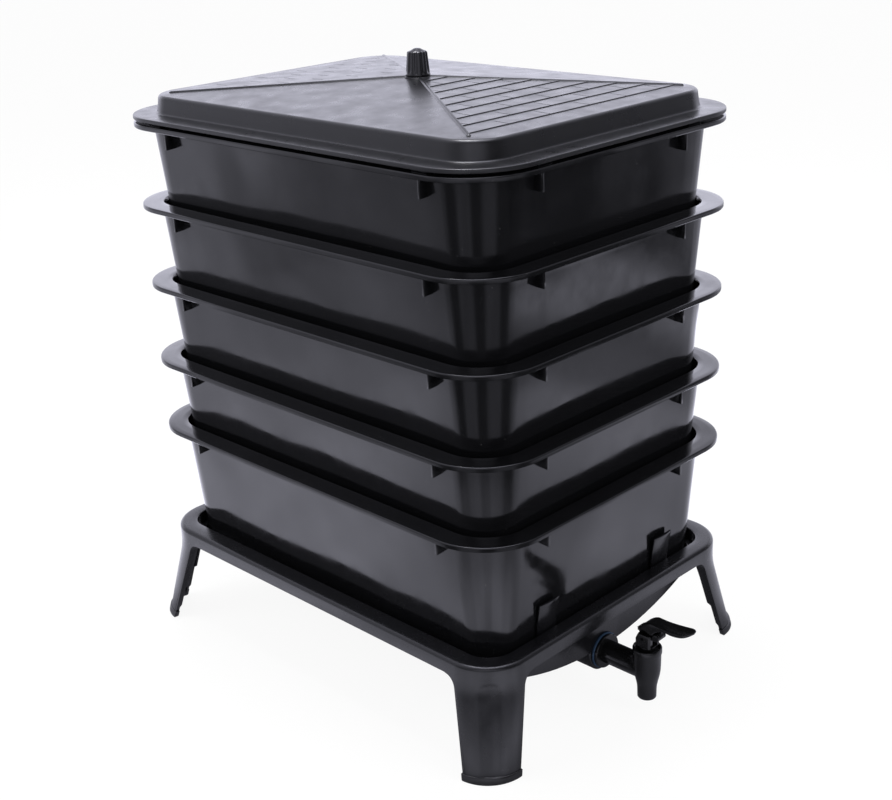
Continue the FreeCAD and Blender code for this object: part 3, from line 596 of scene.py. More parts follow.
def tray(name, material):
    rim, nest = RIMS[name], NEST[name]
    cols = columns(CORE, 14, 18)
    wall_inside = WALL_FACE - TRAY_WALL
    foot_inside = wall_face(TRAY_DEPTH - TRAY_WALL) - TRAY_WALL
    inner = [(SEAT_EDGE - TRAY_WALL, TRAY_WALL - TRAY_DEPTH)]
    inner += arc((foot_inside - 4.0, 6.5 - TRAY_DEPTH), 4.0, 270, 350, 4)
    inner += [(wall_face(drop) - TRAY_WALL, -drop) for drop in (130, 112, 94, 75, 56, 38, 20, 8)]
    lip = [(wall_inside - 0.02, -1.0), (wall_inside + 0.5, -0.25), (wall_inside + 1.4, 0.0), (56.0, 0.0)]
    lip += [(64.0, 0.0)] + rounded((CORNER, 0.0), 1.6, 90, 0, 5) + [(CORNER, -4.9), (CORNER - 0.6, -5.5)]
    lip += [(CORNER - 2.4, -5.5), (CORNER - 3.0, -4.9), (CORNER - 3.0, -3.3), (CORNER - 3.8, -2.5)]
    lip += [(60.0, -2.5), (WALL_FACE + 1.2, -2.5), (WALL_FACE, -3.4)]
    outer = [(wall_face(drop), -drop) for drop in (8, 20, 38, 56, 75, 94, 112, 130, 143)]
    outer += arc((FOOT_FACE - 3.2, 3.4 - TRAY_DEPTH), 3.4, -5.3, -90, 5)
    outer += [(SEAT_EDGE - TRAY_WALL, -TRAY_DEPTH)]
    rows = []
    for section in (inner, lip, outer):
        for out, z in section:
            bow = 0 if section is lip else sag_of(cols, int(name[-1]), -z)
            rows.append(loop(cols, CORE, out - bow, rim + z))
    obj = put(name + "_moulding", Moulding().rows(rows, caps=True).mesh(name), material)
    middle = (STACK_X * MM, 0, (rim - TRAY_DEPTH + TRAY_WALL / 2) * MM)
    with_geometry_nodes(obj, DRAIN_SLOTS, {"Middle": middle, "Material": material})
    bite = TRAY_WALL / 2
    web_edge = WALL_FACE + WEB_REACH
    web = [(WALL_FACE - bite, -2.0), (web_edge, -2.0), (web_edge, -WEB_DROP),
           (wall_face(WEB_DROP) - bite, 0.6 - WEB_DROP)]
    top, foot = nest + 0.3, TRAY_DEPTH - bite
    rib = [(wall_face(top) - bite, -top), (SEAT_EDGE, -top), (SEAT_EDGE - DRAFT * (TRAY_DEPTH - top), -foot),
           (wall_face(foot) - bite, -foot)]
    webs = fins(web, 3.0, fin_spots(CORE, WEB_X, WEB_Y), rim, material)
    joined(obj, [webs, fins(rib, 4.0, fin_spots(CORE), rim, material)])
    return fit_out(obj, name, [name])


# Lid

def roof_height(x, y, out=-math.inf):
    """The lid's top over a point. A distance out from the core adds the rounded shoulder at the edge."""
    planes = ROOF_PEAK - (ROOF_PEAK - ROOF_EDGE) * np.maximum(np.abs(x) / EDGE_X, np.abs(y) / EDGE_Y)
    cone = ROOF_EDGE + (EDGE_OUT - out) * math.tan(math.radians(6.0))
    return np.minimum(planes, cone)


def hip_angle(out):
    """The angle round the corner at which a loop crosses the hip."""
    low, high = 0.0, 90.0
    for _ in range(40):
        middle = (low + high) / 2
        x, y = polar(CORE, out, middle)
        low, high = (middle, high) if y / x < EDGE_Y / EDGE_X else (low, middle)
    return low


def shell_rows(edge_out, lowered, round_radius, cols):
    """Loops over a hipped roof, from its shoulder to its peak."""
    shoulder = []
    if round_radius:
        shoulder = rounded((edge_out, ROOF_EDGE - lowered), round_radius, 8.0, 84.0, 7)
    rows = [loop(cols, CORE, out, z) for out, z in shoulder]
    inner = (shoulder[-1][0] if shoulder else edge_out) - 1.5
    for out in (inner, inner - 5, inner - 12):
        flat = loop(cols, CORE, out, 0)
        flat[:, 2] = roof_height(flat[:, 0], flat[:, 1], out + EDGE_OUT - edge_out) - lowered
        rows.append(flat)
    last = rows[-1]
    above_plane = last[:, 2] - (roof_height(last[:, 0], last[:, 1]) - lowered)
    for share in (0.9, 0.75, 0.6, 0.45, 0.3, 0.15, 0.06, 0.0):
        ring = last.copy()
        ring[:, :2] *= share
        plane = roof_height(ring[:, 0], ring[:, 1]) - lowered
        ring[:, 2] = plane + above_plane * smooth_step(0.6, 1.0, share)
        rows.append(ring)
    return rows


def ridge_bars():
    """The four raised hips from the knob's seat to the corners, and the seat."""
    bars = Moulding()
    far = math.hypot(EDGE_X, EDGE_Y)
    fall = (ROOF_PEAK - ROOF_EDGE) / far
    run = math.hypot(*polar(CORE, EDGE_OUT, hip_angle(EDGE_OUT)))
    foot, flank = (2.5, -1.6), [(2.4, -0.1), (1.3, 1.35), (0.5, 1.55)]
    section = [(-foot[0], foot[1]), foot] + flank + [(-a, z) for a, z in reversed(flank)]
    stops = ((10.0, 0.0), (run - 15.5, 0.0), (run - 14.0, -0.5), (run - 13.3, -1.4))
    for sign_x, sign_y in ((1, 1), (1, -1), (-1, 1), (-1, -1)):
        along = np.array([sign_x * EDGE_X, sign_y * EDGE_Y, 0]) / far
        across = np.array([-along[1], along[0], 0])
        ends = []
        for distance, lift in stops:
            base = along * distance + np.array([0, 0, LID_BASE + ROOF_PEAK - fall * distance + lift])
            ends.append([base + across * a + np.array([0, 0, z]) for a, z in section])
        bars.rows(ends, caps=True)
    seat = [(0, -2.5), (15.2, -2.5), (15.2, -0.5), (14.8, 0.0), (0, 0.0)]
    return bars.turned([(r, LID_BASE + ROOF_PEAK + z) for r, z in seat], upright(), 64)


def shingle_courses(side_sign, material):
    """The courses of one end slope: each shingle stands proud at its lower edge."""
    pitch, first, rows, width = 25.0, 28.0, 9, 60.0
    fall = (ROOF_PEAK - ROOF_EDGE) / EDGE_X
    back, under = -pitch - 0.5, -1.2
    outline = [(back, under + fall * pitch), (back, fall * pitch + 0.01)]
    outline += [(-0.6, 0.85), (0.0, 0.45), (0.0, under)]
    shingle = Moulding().prism(outline, lambda x, z: (x, 0.6 - width / 2, z), (0, width - 1.2, 0))
    seed = put("shingle", shingle.mesh("shingle", 0.0), material)
    last = first + pitch * (rows - 1) + 1.0
    half = (last * EDGE_Y / EDGE_X) - 1.0
    corners = [(0.0, 0.0), (last, -half), (last, half)]
    slope = Moulding().prism(corners, lambda x, y: (side_sign * x, y, LID_BASE + 5.0), (0, 0, 60.0))
    facet = put("facet", slope.mesh("facet"))
    made = with_geometry_nodes(put("courses", bpy.data.meshes.new("courses")), SHINGLES, {
        "Shingle": seed, "Slope": facet, "Rows": rows, "Columns": 9, "Pitch": pitch * MM, "Width": width * MM,
        "First": first * MM, "Fall": fall, "Peak": (LID_BASE + ROOF_PEAK) * MM, "Middle": STACK_X * MM,
        "Side": float(side_sign), "Material": material,
    })
    bpy.data.objects.remove(seed)
    bpy.data.objects.remove(facet)
    return made


def lid(material):
    cols = columns(CORE, 16, 14, extra_angles=(hip_angle(EDGE_OUT - 12),))
    skirt = [(42.5, 0.0), (42.5, -9.4), (43.1, -10.0), (44.9, -10.0), (45.5, -9.4), (45.5, -0.6), (46.1, 0.0)]
    flange = [(60.0, 0.0), (CORNER - 3.0, 0.0), (CORNER - 2.6, -1.0), (CORNER - 0.6, -1.0), (CORNER, -0.4)]
    flange += [(CORNER, 2.3)] + rounded((CORNER, LID_FLANGE), 1.2, 0, 90, 4)
    flange += [(62.0, LID_FLANGE), (PANEL_OUT + 4.5, LID_FLANGE)]
    side = arc((PANEL_OUT + 2.9, LID_FLANGE + 2.9), 2.9, 270, 188, 5) + [(PANEL_OUT - PANEL_LEAN * 8.0, 11.5)]
    rows = [loop(cols, CORE, out, z) for out, z in [(41.0, LID_FLANGE)] + skirt + flange + side]
    inside = shell_rows(EDGE_OUT - LID_WALL, LID_WALL, 0, cols)[::-1]
    outside = shell_rows(EDGE_OUT, 0.0, 4.5, cols)
    for row in inside + rows + outside:
        row[:, 2] += LID_BASE
    obj = put("lid_moulding", Moulding().rows(inside + rows + outside).mesh("lid"), material)
    ridges = put("ridges", ridge_bars().mesh("ridges"), material)
    pad = [(57.25, -4.0), (65.25, -4.0), (65.25, 1.75), (57.25, 1.75)]
    pads = fins(pad, 20.0, fin_spots(CORE), LID_BASE, material)
    courses = [shingle_courses(side_sign, SHINGLE_FINISH) for side_sign in (1, -1)]
    joined(obj, [ridges, pads] + courses)
    return fit_out(obj, "lid", ["lid"])


def knob(material):
    """The fluted knob: a tapering drum with ten hollow flutes and a low crown."""
    steps, flutes, flute_depth = 120, 10, 1.15
    section = [(0, 0), (12.9, 0), (13.5, 0.6), (13.5, 2.6), (13.2, 3.2)]
    section += [(13.15 - 1.95 * i / 8, 3.4 + 21.4 * i / 8) for i in range(9)]
    section += [(11.1, 25.6), (10.5, 26.4), (7.6, 27.6), (5.0, 28.9), (3.8, 29.6), (2.4, 30.0), (0, 30.0)]
    rows = []
    for radius, height in section:
        reach = smooth_step(3.0, 4.4, height) * (1 - smooth_step(25.5, 28.0, height))
        row = []
        for i in range(steps):
            off = (i * flutes / steps) % 1.0 - 0.5
            hollow = max(0.0, math.cos(off * 1.8 * math.pi)) ** 0.8 if abs(off) < 0.28 else 0.0
            x, y = polar((0, 0), radius - flute_depth * hollow * reach, 360 * i / steps)
            row.append((x, y, LID_BASE + ROOF_PEAK + height))
        rows.append(row)
    obj = put("knob_moulding", Moulding().rows(rows).mesh("knob"), material)
    return fit_out(obj, "lid", ["lid_knob"], 50)


# Stand

SIDE_MARKS = (0.8, 2.0, 3.6, 5.6, 8.0, 11.0, 14.0)
CORNER_STEPS = 24
RETURN_HEIGHTS = (2.0, 12.0, 15.0, 40.0, 43.0, APRON_LOW)
RETURN_DEPTHS = (5.0, 5.0, 7.5, 7.5, 12.0, 12.0)


def leg_shift(z):
    """How far the leg's corner has moved out, and its radius, at a height. The lean starts softly."""
    drop, soft = APRON_LOW - min(z, APRON_LOW), 20.0
    share = (drop ** 2 / (2 * soft) if drop < soft else drop - soft / 2) / (APRON_LOW - soft / 2)
    return share * LEG_SPLAY[0], share * LEG_SPLAY[1], STAND_CORNER + share * (FOOT_CORNER - STAND_CORNER)


def leg_arc(z):
    """The angle that the leg's skin goes round its corner: a little short of the long side at the foot."""
    short_at_foot, full_from = 7.0, 92.0
    return 90.0 - short_at_foot * max(1 - z / full_from, 0)


def flute(share_round, z):
    """The depth of the shallow channel down the middle of a leg, with an arched top."""
    depth, arch_foot, arch_radius, arch_rise = 1.2, 95.0, 12.0, 0.7
    off = (share_round - 0.5) * math.pi / 2 * leg_shift(z)[2]
    arch = arch_foot + arch_rise * math.sqrt(max(arch_radius ** 2 - off ** 2, 0))
    return depth * (1 - smooth_step(7.0, 13.5, abs(off))) * (1 - smooth_step(-3.0, 2.5, z - arch))


def leg_line(z):
    """One level of a leg's skin round its corner: return, run-out, round, run-out and return."""
    shift_x, shift_y, radius = leg_shift(z)
    drop, run_radius = APRON_LOW - z, 14.0
    run_out = 0.0
    if drop < run_radius:
        run_out = run_radius - math.sqrt(run_radius ** 2 - (run_radius - drop) ** 2)
    depth = float(np.interp(z, RETURN_HEIGHTS, RETURN_DEPTHS))
    inward = (depth, depth / 2, 1.2, 0.35)
    last = leg_arc(z)
    end_x, end_y = polar((0, 0), radius, last)
    line = [(radius - d, -run_out) for d in inward]
    line += [(radius, -min(d, run_out)) for d in reversed(SIDE_MARKS)]
    for i in range(CORNER_STEPS + 1):
        share = i / CORNER_STEPS
        line.append(polar((0, 0), radius - float(flute(share, z)), last * share))
    line += [(end_x - min(d, run_out), end_y) for d in SIDE_MARKS]
    line += [(end_x - run_out, end_y - d) for d in reversed(inward)]
    return [(STAND_CORE[0] + shift_x + x, STAND_CORE[1] + shift_y + y, z) for x, y in line]


def stand(material):
    """The plate, its opening and ledge, and four legs, drawn as one skin and thickened inwards."""
    cols = columns(STAND_CORE, CORNER_STEPS, 10, SIDE_MARKS)
    ledge = [(26.5, 104.6), (26.9, 105.8), (28.0, 106.0), (30.6, 106.0), (31.0, 106.6), (31.0, 121.9)]
    ledge += arc((32.6, 121.9), 1.6, 180, 90, 4)[1:]
    edge = arc((STAND_CORNER - 5.0, STAND_TOP - 5.0), 5.0, 90, 0, 9)
    edge += [(STAND_CORNER, 113.0), (STAND_CORNER, APRON_LOW)]
    rows = [loop(cols, OPENING_CORE, out, z) for out, z in ledge]
    rows += [loop(cols, STAND_CORE, out, z) for out, z in [(40.0, STAND_TOP)] + edge]
    body = Moulding().rows(rows)
    levels = [APRON_LOW, 104.5, 103.0, 101.0, 99.0, 96.5, 94.0, 92.0, 89.0, 85.0, 80.0, 72.0, 62.0, 52.0]
    levels += [43.0, 40.0, 30.0, 20.0, 15.0, 12.0, 2.0]
    for sign_x, sign_y in ((1, 1), (-1, 1), (-1, -1), (1, -1)):
        leg = [[(sign_x * x, sign_y * y, z) for x, y, z in leg_line(level)] for level in levels]
        body.rows(leg, wrap=False)
    data = body.mesh("stand")
    obj = put("stand_moulding", data, material)
    if sum(p.normal.z for p in data.polygons if abs(p.center.z - STAND_TOP * MM) < 0.1 * MM) < 0:
        data.flip_normals()
    skin = obj.modifiers.new("skin", "SOLIDIFY")
    skin.thickness = STAND_WALL * MM
    skin.offset = -1.0
    skin.use_even_offset = True
    skin.use_quality_normals = True
    settled(obj)
    softened(obj, 0.4, 2, 50)
    return fit_out(obj, "base", ["stand"], 40)


def foot_cap(number, sign_x, sign_y, material):
    """A push-on cap: the leg's channel section, a little grown."""
    depth, lip, end_angle = 4.2, 3.0, 3.6
    rows = []
    for z, grown in ((0.0, 0.2), (0.3, 0.7), (1.2, 1.2), (4.5, 1.2), (7.6, 1.2), (8.0, 0.9)):
        shift_x, shift_y, radius = leg_shift(z)
        outer, inner, back = radius + grown, radius - STAND_WALL - grown, radius - depth - grown / 2
        last = leg_arc(z)
        along, across = polar((0, 0), 1.0, last), polar((0, 0), 1.0, last + 90)
        far_end = ((outer, grown), (back, grown), (back, -lip))
        line = [(back, lip), (back, -grown), (outer, -grown)] + arc((0, 0), outer, 0, last, 20)
        line += [(along[0] * r + across[0] * t, along[1] * r + across[1] * t) for r, t in far_end]
        line += arc((0, 0), inner, last - end_angle, end_angle, 16)
        corner_x, corner_y = STAND_CORE[0] + shift_x, STAND_CORE[1] + shift_y
        rows.append([(sign_x * (corner_x + x), sign_y * (corner_y + y), z) for x, y in line])
    name = "foot_cap_%d" % number
    obj = put(name + "_moulding", Moulding().rows(rows, caps=True).mesh(name), material)
    softened(obj, 0.3, 2, 45)
    return fit_out(obj, "base", [name], 40)


# Dish

def belly_height(x, y, radius):
    """The height of the dish's round belly: a barrel vault that falls towards the tap."""
    centre = DISH_LOW + DISH_RADIUS + DISH_FALL * (DISH_HALF[0] - x) / (2 * DISH_HALF[0])
    return centre - np.sqrt(np.maximum(radius ** 2 - y ** 2, 0))


def belly_rows(cols, core, out, radius):
    """Loops over the belly from its middle to its rounded edge."""
    stops = [(2.5, share, 0.0) for share in (0.0, 0.1, 0.25, 0.4, 0.55, 0.7, 0.85, 1.0)]
    stops += [(1.1, 1.0, 0.25), (0.3, 1.0, 0.9), (0.0, 1.0, 2.4)]
    made = []
    for inset, share, lift in stops:
        row = loop(cols, core, out - inset, 0)
        row[:, :2] *= share
        row[:, 2] = belly_height(row[:, 0], row[:, 1], radius) + lift
        made.append(row)
    return made


def with_boss(obj, material):
    """Joins the round boss for the tap onto the dish and hollows it out from inside."""
    boss = [(0, 200.0), (22.5, 200.0), (24.0, 201.5), (24.0, 254.6), (23.0, 255.8), (22.0, 256.0), (0, 256.0)]
    hollow = [(0, 203.0), (21.0, 203.0), (21.0, 252.8), (8.2, 252.8), (8.2, 260.0), (0, 260.0)]
    tools = []
    cuts = (("boss", "UNION", boss, 64), ("hollow", "DIFFERENCE", hollow, 48))
    for name, operation, section, steps in cuts:
        shape = Moulding().turned(section, lengthwise(TAP_Z), steps)
        tools.append(put(name, shape.mesh(name), material))
        change = obj.modifiers.new(operation, "BOOLEAN")
        change.operation = operation
        change.solver = "EXACT"
        change.object = tools[-1]
    settled(obj)
    for tool in tools:
        bpy.data.objects.remove(tool)


def lug_bars():
    """Two lugs that stand up beside the lowest tray, flared and slightly crowned."""
    bars = Moulding()
    low, high, half, levels = 107.5, 158.5, 15.5, 12
    sides = [half * (j / 6 - 1) for j in range(13)]
    for middle in (-99.0, 99.0):
        rows = []
        for i in range(levels + 1):
            z = low + (high - low) * i / levels
            back = CORE[0] + wall_face(RIMS["tray_5"] - z) + 1.0
            flare = 2.6 * (i / levels) ** 2
            front = [(back + 1.3 + flare + 1.9 * (1 - (y / half) ** 2), middle + y, z) for y in sides]
            rows.append(front + [(back + 0.8 * flare, middle + y, z) for y in reversed(sides)])
        bars.rows(rows, caps=True)
    return bars


def dish(material):
    corner = 26.0
    core = (DISH_HALF[0] - corner, DISH_HALF[1] - corner)
    cols = columns(core, 10, 20)
    rows = belly_rows(cols, core, corner, DISH_RADIUS)
    for out, z in ((0.0, 104.0), (0.0, 106.0), (4.1, 106.0), (4.5, 106.4), (4.5, 108.5), (4.0, DISH_TOP),
                   (-2.4, DISH_TOP), (-DISH_WALL, 108.4)):
        rows.append(loop(cols, core, corner + out, z))
    rows += belly_rows(cols, core, corner - DISH_WALL, DISH_RADIUS - DISH_WALL)[::-1]
    obj = put("sump_dish_moulding", Moulding().rows(rows).mesh("sump_dish"), material)
    with_boss(obj, material)
    lugs = put("lugs", lug_bars().mesh("lugs"), material)
    softened(lugs, 0.3)
    rib_root, rib_edge, rib_drop = corner - 1.5, SEAT_EDGE - 12.0, -24.0
    rib = [(rib_root, rib_drop), (rib_root, 0.0), (rib_edge, 0.0), (rib_edge, rib_drop)]
    ribs = fins(rib, 4.0, fin_spots(core), DISH_TOP, material)
    joined(obj, [lugs, ribs])
    return fit_out(obj, "base", ["sump_dish"], 40)


# Tap

def tap_body(material):
    flange = [(0, 236.0), (8.0, 236.0), (8.0, 258.5), (19.2, 258.5), (19.8, 259.0), (19.8, 261.6)]
    flange += [(19.2, 262.2), (14.6, 262.4), (0, 262.4)]
    body = Moulding().turned(flange, lengthwise(TAP_Z), 64)
    shank_start, shank_run, shank_flats, blunt = 262.0, 50.0, 24.0, 0.12
    edges = [polar((0, TAP_Z), shank_flats / math.sqrt(3), 60 * i) for i in range(6)]
    shank = []
    for i, (y, z) in enumerate(edges):
        for other in (edges[i - 1], edges[(i + 1) % 6]):
            shank.append((y + (other[0] - y) * blunt, z + (other[1] - z) * blunt))
    body.prism(shank, lambda y, z: (shank_start, y, z), (shank_run, 0, 0))
    barrel = [(7.0, 16.6), (7.6, 16.0), (8.8, 16.0), (9.9, 16.4), (10.5, 17.3), (10.6, 20.0), (10.7, 27.0)]
    barrel += [(11.0, 31.0), (11.9, 36.0), (13.1, 41.0), (14.1, 45.5), (14.8, 51.0), (15.1, 58.0)]
    barrel += [(15.3, 70.6), (15.5, 71.6), (16.0, 72.0), (16.15, 73.0), (16.15, 78.0), (15.8, 78.8)]
    barrel += [(15.2, 79.0), (13.9, 79.0), (13.6, 78.7), (13.6, 64.0), (11.0, 64.0), (11.0, 43.5)]
    barrel += [(7.0, 43.5), (7.0, 16.6)]
    body.turned(barrel, upright(TAP_X), 72)
    obj = put("tap_body_moulding", body.mesh("tap_body"), material)
    softened(obj, 0.25, 2, 50)
    return fit_out(obj, "base", ["tap_body"], 40)


def tap_bonnet(material):
    """The plug in the barrel, and the fork that holds the lever's pin, with a nub that the lever rests on."""
    foot, half, cheek, cut = 82.0, 10.0, 4.3, 2.0
    flat = half - cut
    plug = [(2.6, 64.0), (13.4, 64.0), (13.4, 76.0), (10.4, 76.0), (10.0, 76.4), (10.0, 82.6), (2.6, 82.6)]
    body = Moulding().turned(plug + plug[:1], upright(TAP_X), 48)
    for sign in (-1, 1):
        rows = []
        for z, rear in ((foot, half), (89.8, half), (97.4, 6.4)):
            outline = [(-rear, cheek), (half, cheek), (half, flat), (flat, half)]
            outline += [(cut - rear, half), (-rear, flat)]
            rows.append([(TAP_X + x, sign * y, z) for x, y in outline])
        body.rows(rows, caps=True)
    base = [(-half, -flat), (-flat, -half), (flat, -half), (half, -flat)]
    base += [(-x, -y) for x, y in base]
    body.prism(base, lambda x, y: (TAP_X + x, y, foot), (0, 0, 0.5))
    centre, radius, root = (TAP_X + 15.5, 97.2), 4.0, TAP_X + 9.5
    back = polar(centre, radius, 150)
    nub = [(root, centre[1] - radius)] + arc(centre, radius, -90, 150, 12)
    nub += [(root, back[1] - (back[0] - root) * math.tan(math.radians(60)))]
    for sign in (-1, 1):
        body.prism(nub, lambda x, z: (x, sign * cheek, z), (0, sign * 2.7, 0))
    face = TAP_X + half + 0.05
    front = [(max(x, face), z) for x, z in nub]
    body.prism(front, lambda x, z: (x, -cheek - 0.1, z), (0, 2 * cheek + 0.2, 0))
    obj = put("tap_bonnet_moulding", body.mesh("tap_bonnet"), material)
    softened(obj, 0.5, 3, 50)
    return fit_out(obj, "base", ["tap_bonnet"], 40)


def lever_section(width, thick, sink):
    """The lever's round-edged cross-section as (across, height) points, with a dished top."""
    soft = min(1.5, thick * 0.45)
    side, low, high = width - soft, soft, thick - soft
    between = (-0.6, -0.3, 0.0, 0.3, 0.6)
    line = arc((-side, low), soft, 270, 180, 4) + arc((-side, high), soft, 180, 90, 4)
    line += [(width * share, thick) for share in between]
    line += arc((side, high), soft, 90, 0, 4) + arc((side, low), soft, 0, -90, 4)
    line += [(-width * share, 0.0) for share in between]
    return [(y, h - sink * max(0.0, 1 - (y / width) ** 2) if h > thick / 2 else h) for y, h in line]


def tap_lever(material):
    """The lever: an arm that arches from behind the block to a dished paddle, and its cam in the fork."""
    top = arc_through((-6.9, 10.2), (-0.6, 17.8), (9.5, 23.2), 10)
    top += arc_through((9.5, 23.2), (34.0, 23.3), (61.5, 27.4), 16)[1:]
    under = arc((0, 0), 10.8, 124, 70, 6)
    under += arc_through(polar((0, 0), 10.8, 64), polar((0, 0), 11.4, 50), (10.4, 7.6), 4)
    under += arc_through((11.2, 7.8), (18.0, 14.6), (31.0, 18.2), 8)
    under += arc_through((31.0, 18.2), (47.0, 19.6), (60.5, 25.0), 8)[1:]
    count, tip_start, tip_length = 44, 50.5, 10.4
    rows = []
    for (top_x, top_z), (low_x, low_z) in zip(resampled(top, count), resampled(under, count)):
        x = (top_x + low_x) / 2
        width = 9.0 + 1.2 * smooth_step(18.0, 46.0, x)
        if x > tip_start:
            width = math.sqrt(max(width ** 2 - ((x - tip_start) * width / tip_length) ** 2, 1.2))
        thick = math.hypot(top_x - low_x, top_z - low_z)
        sink = 1.1 * float(smooth_step(20.0, 44.0, x)) * (1 - float(smooth_step(56.0, 61.0, x)))
        up_x, up_z = (top_x - low_x) / thick, (top_z - low_z) / thick
        section = lever_section(width, thick, sink)
        rows.append([(TAP_X + low_x + up_x * h, y, PIVOT_Z + low_z + up_z * h) for y, h in section])
    body = Moulding().rows(rows, caps=True)
    cam_radius, cam_lift, cam_turn, cam_back, half_width = 9.0, 4.3, 60, 14.1, 4.0
    cam = arc((0, 0), cam_radius, 0, -90, 10)
    cam += [polar((0, 0), cam_radius - cam_lift * t, -90 - cam_turn * t) for t in (0.2, 0.4, 0.6, 0.8, 1.0)]
    cam += arc((0, 0), cam_back, 140, 40, 8)
    body.prism(cam, lambda x, z: (TAP_X + x, -half_width, PIVOT_Z + z), (0, 2 * half_width, 0))
    obj = put("tap_lever_moulding", body.mesh("tap_lever"), material)
    return fit_out(obj, "tap_lever", ["tap_lever"], 45)


def washer(name, node_name, start, end, radius, material):
    hole, blunt = 8.3, 0.5
    section = [(hole, start), (radius - blunt, start), (radius, start + blunt), (radius, end - blunt)]
    section += [(radius - blunt, end), (hole, end), (hole, start)]
    obj = put(name, Moulding().turned(section, lengthwise(TAP_Z), 72).mesh(name), material)
    return fit_out(obj, "base", [node_name])


# The scene

# Lamps and lengths on the floor are in metres.
WHITE = (1, 1, 1, 1)
MIRRORED_TINT = (0.97, 0.97, 1.13, 1)
SIN_45 = 0.7071


def camera():
    """The photograph's view, with the camera's axes set straight from its measured turn."""
    azimuth, elevation, roll = (math.radians(a) for a in (-44.744, 20.214, -2.432))
    focal, middle_x, middle_y = 1411.458, 448.774, 369.269
    width, height = 892, 800
    away, sideways, aim_height = 1663.242, 19.821, 327.117
    flat = math.cos(elevation)
    back = Vector((flat * math.cos(azimuth), flat * math.sin(azimuth), math.sin(elevation)))
    level = Vector((-math.sin(azimuth), math.cos(azimuth), 0))
    upward = back.cross(level)
    right = math.cos(roll) * level + math.sin(roll) * upward
    up = -math.sin(roll) * level + math.cos(roll) * upward
    place = back * away + level * sideways + Vector((STACK_X, 0, aim_height))
    data = bpy.data.cameras.new("camera")
    data.sensor_fit = "HORIZONTAL"
    data.sensor_width = 36.0
    data.lens = focal / width * data.sensor_width
    data.shift_x = 0.5 - middle_x / width
    data.shift_y = (middle_y - height / 2) / width
    data.clip_start, data.clip_end = 0.05, 60.0
    obj = put("camera", data)
    turn = Matrix((right, up, back)).transposed().to_4x4()
    obj.matrix_world = Matrix.Translation(place * MM) @ turn
    bpy.context.scene.camera = obj


def lamp(name, place, aim, size, power, mirrored=False):
    data = bpy.data.lights.new(name, "AREA")
    data.shape = "RECTANGLE"
    data.size, data.size_y = size
    data.energy = power
    obj = put(name, data)
    obj.location = place
    obj.rotation_euler = (Vector(aim) - Vector(place)).to_track_quat("-Z", "Y").to_euler()
    obj.visible_glossy = mirrored


def ray_kinds(tree):
    """Whether a ray is one of the camera's, one mirrored in a glossy surface, or one let through."""
    paths = node(tree, "ShaderNodeLightPath")
    names = ("Is Camera Ray", "Is Glossy Ray", "Is Transmission Ray")
    return [Value(tree, paths.outputs[name]) for name in names]


def parts_of(tree, vector):
    """The three numbers of a vector."""
    return [Value(tree, socket) for socket in node(tree, "ShaderNodeSeparateXYZ", {0: vector}).outputs]


def across_view(x, y):
    """Distance towards the camera's side and towards the left of the picture, for a place or a direction."""
    return (x - y) * SIN_45, (x + y) * -SIN_45


def world():
    """White for the camera. Glossy plastic sees a bright sweep behind, dimmer sides and a dark front."""
    made = bpy.data.worlds.new("studio")
    made.use_nodes = True
    bpy.context.scene.world = made
    tree = made.node_tree
    camera_ray, glossy, passing = ray_kinds(tree)
    x, y, height = parts_of(tree, node(tree, "ShaderNodeTexCoord").outputs["Generated"])
    forward, left = across_view(x, y)
    sides = left.eased(-0.8, 0.8, 0.20, 0.75)
    horizon = height.eased(0.24, 0.31, 1.02, 1.22) * height.eased(0.29, 0.45, 1.0, 0.46)
    behind = forward.eased(-0.75, -0.15, 1.75, 0.0) * horizon
    before = forward.eased(0.2, 0.7, 0.0, -0.3) + forward.eased(0.75, 0.97, 0.0, 0.85)
    top = height.eased(0.45, 0.8, 0.0, 0.35) + height.eased(0.86, 0.96, 0.0, 4.2)
    reflected = (sides.math("MAXIMUM", behind) + (before + top)).math("MAXIMUM", 0.05)
    white = camera_ray.math("MAXIMUM", passing)
    diffuse = (1.0 - glossy.math("MAXIMUM", white)) * 0.6
    strength = reflected * glossy + (white + diffuse)
    background = tree.nodes["Background"]
    tree.links.new(strength.socket, background.inputs["Strength"])
    tree.links.new(mixed(tree, glossy, WHITE, MIRRORED_TINT), background.inputs["Color"])


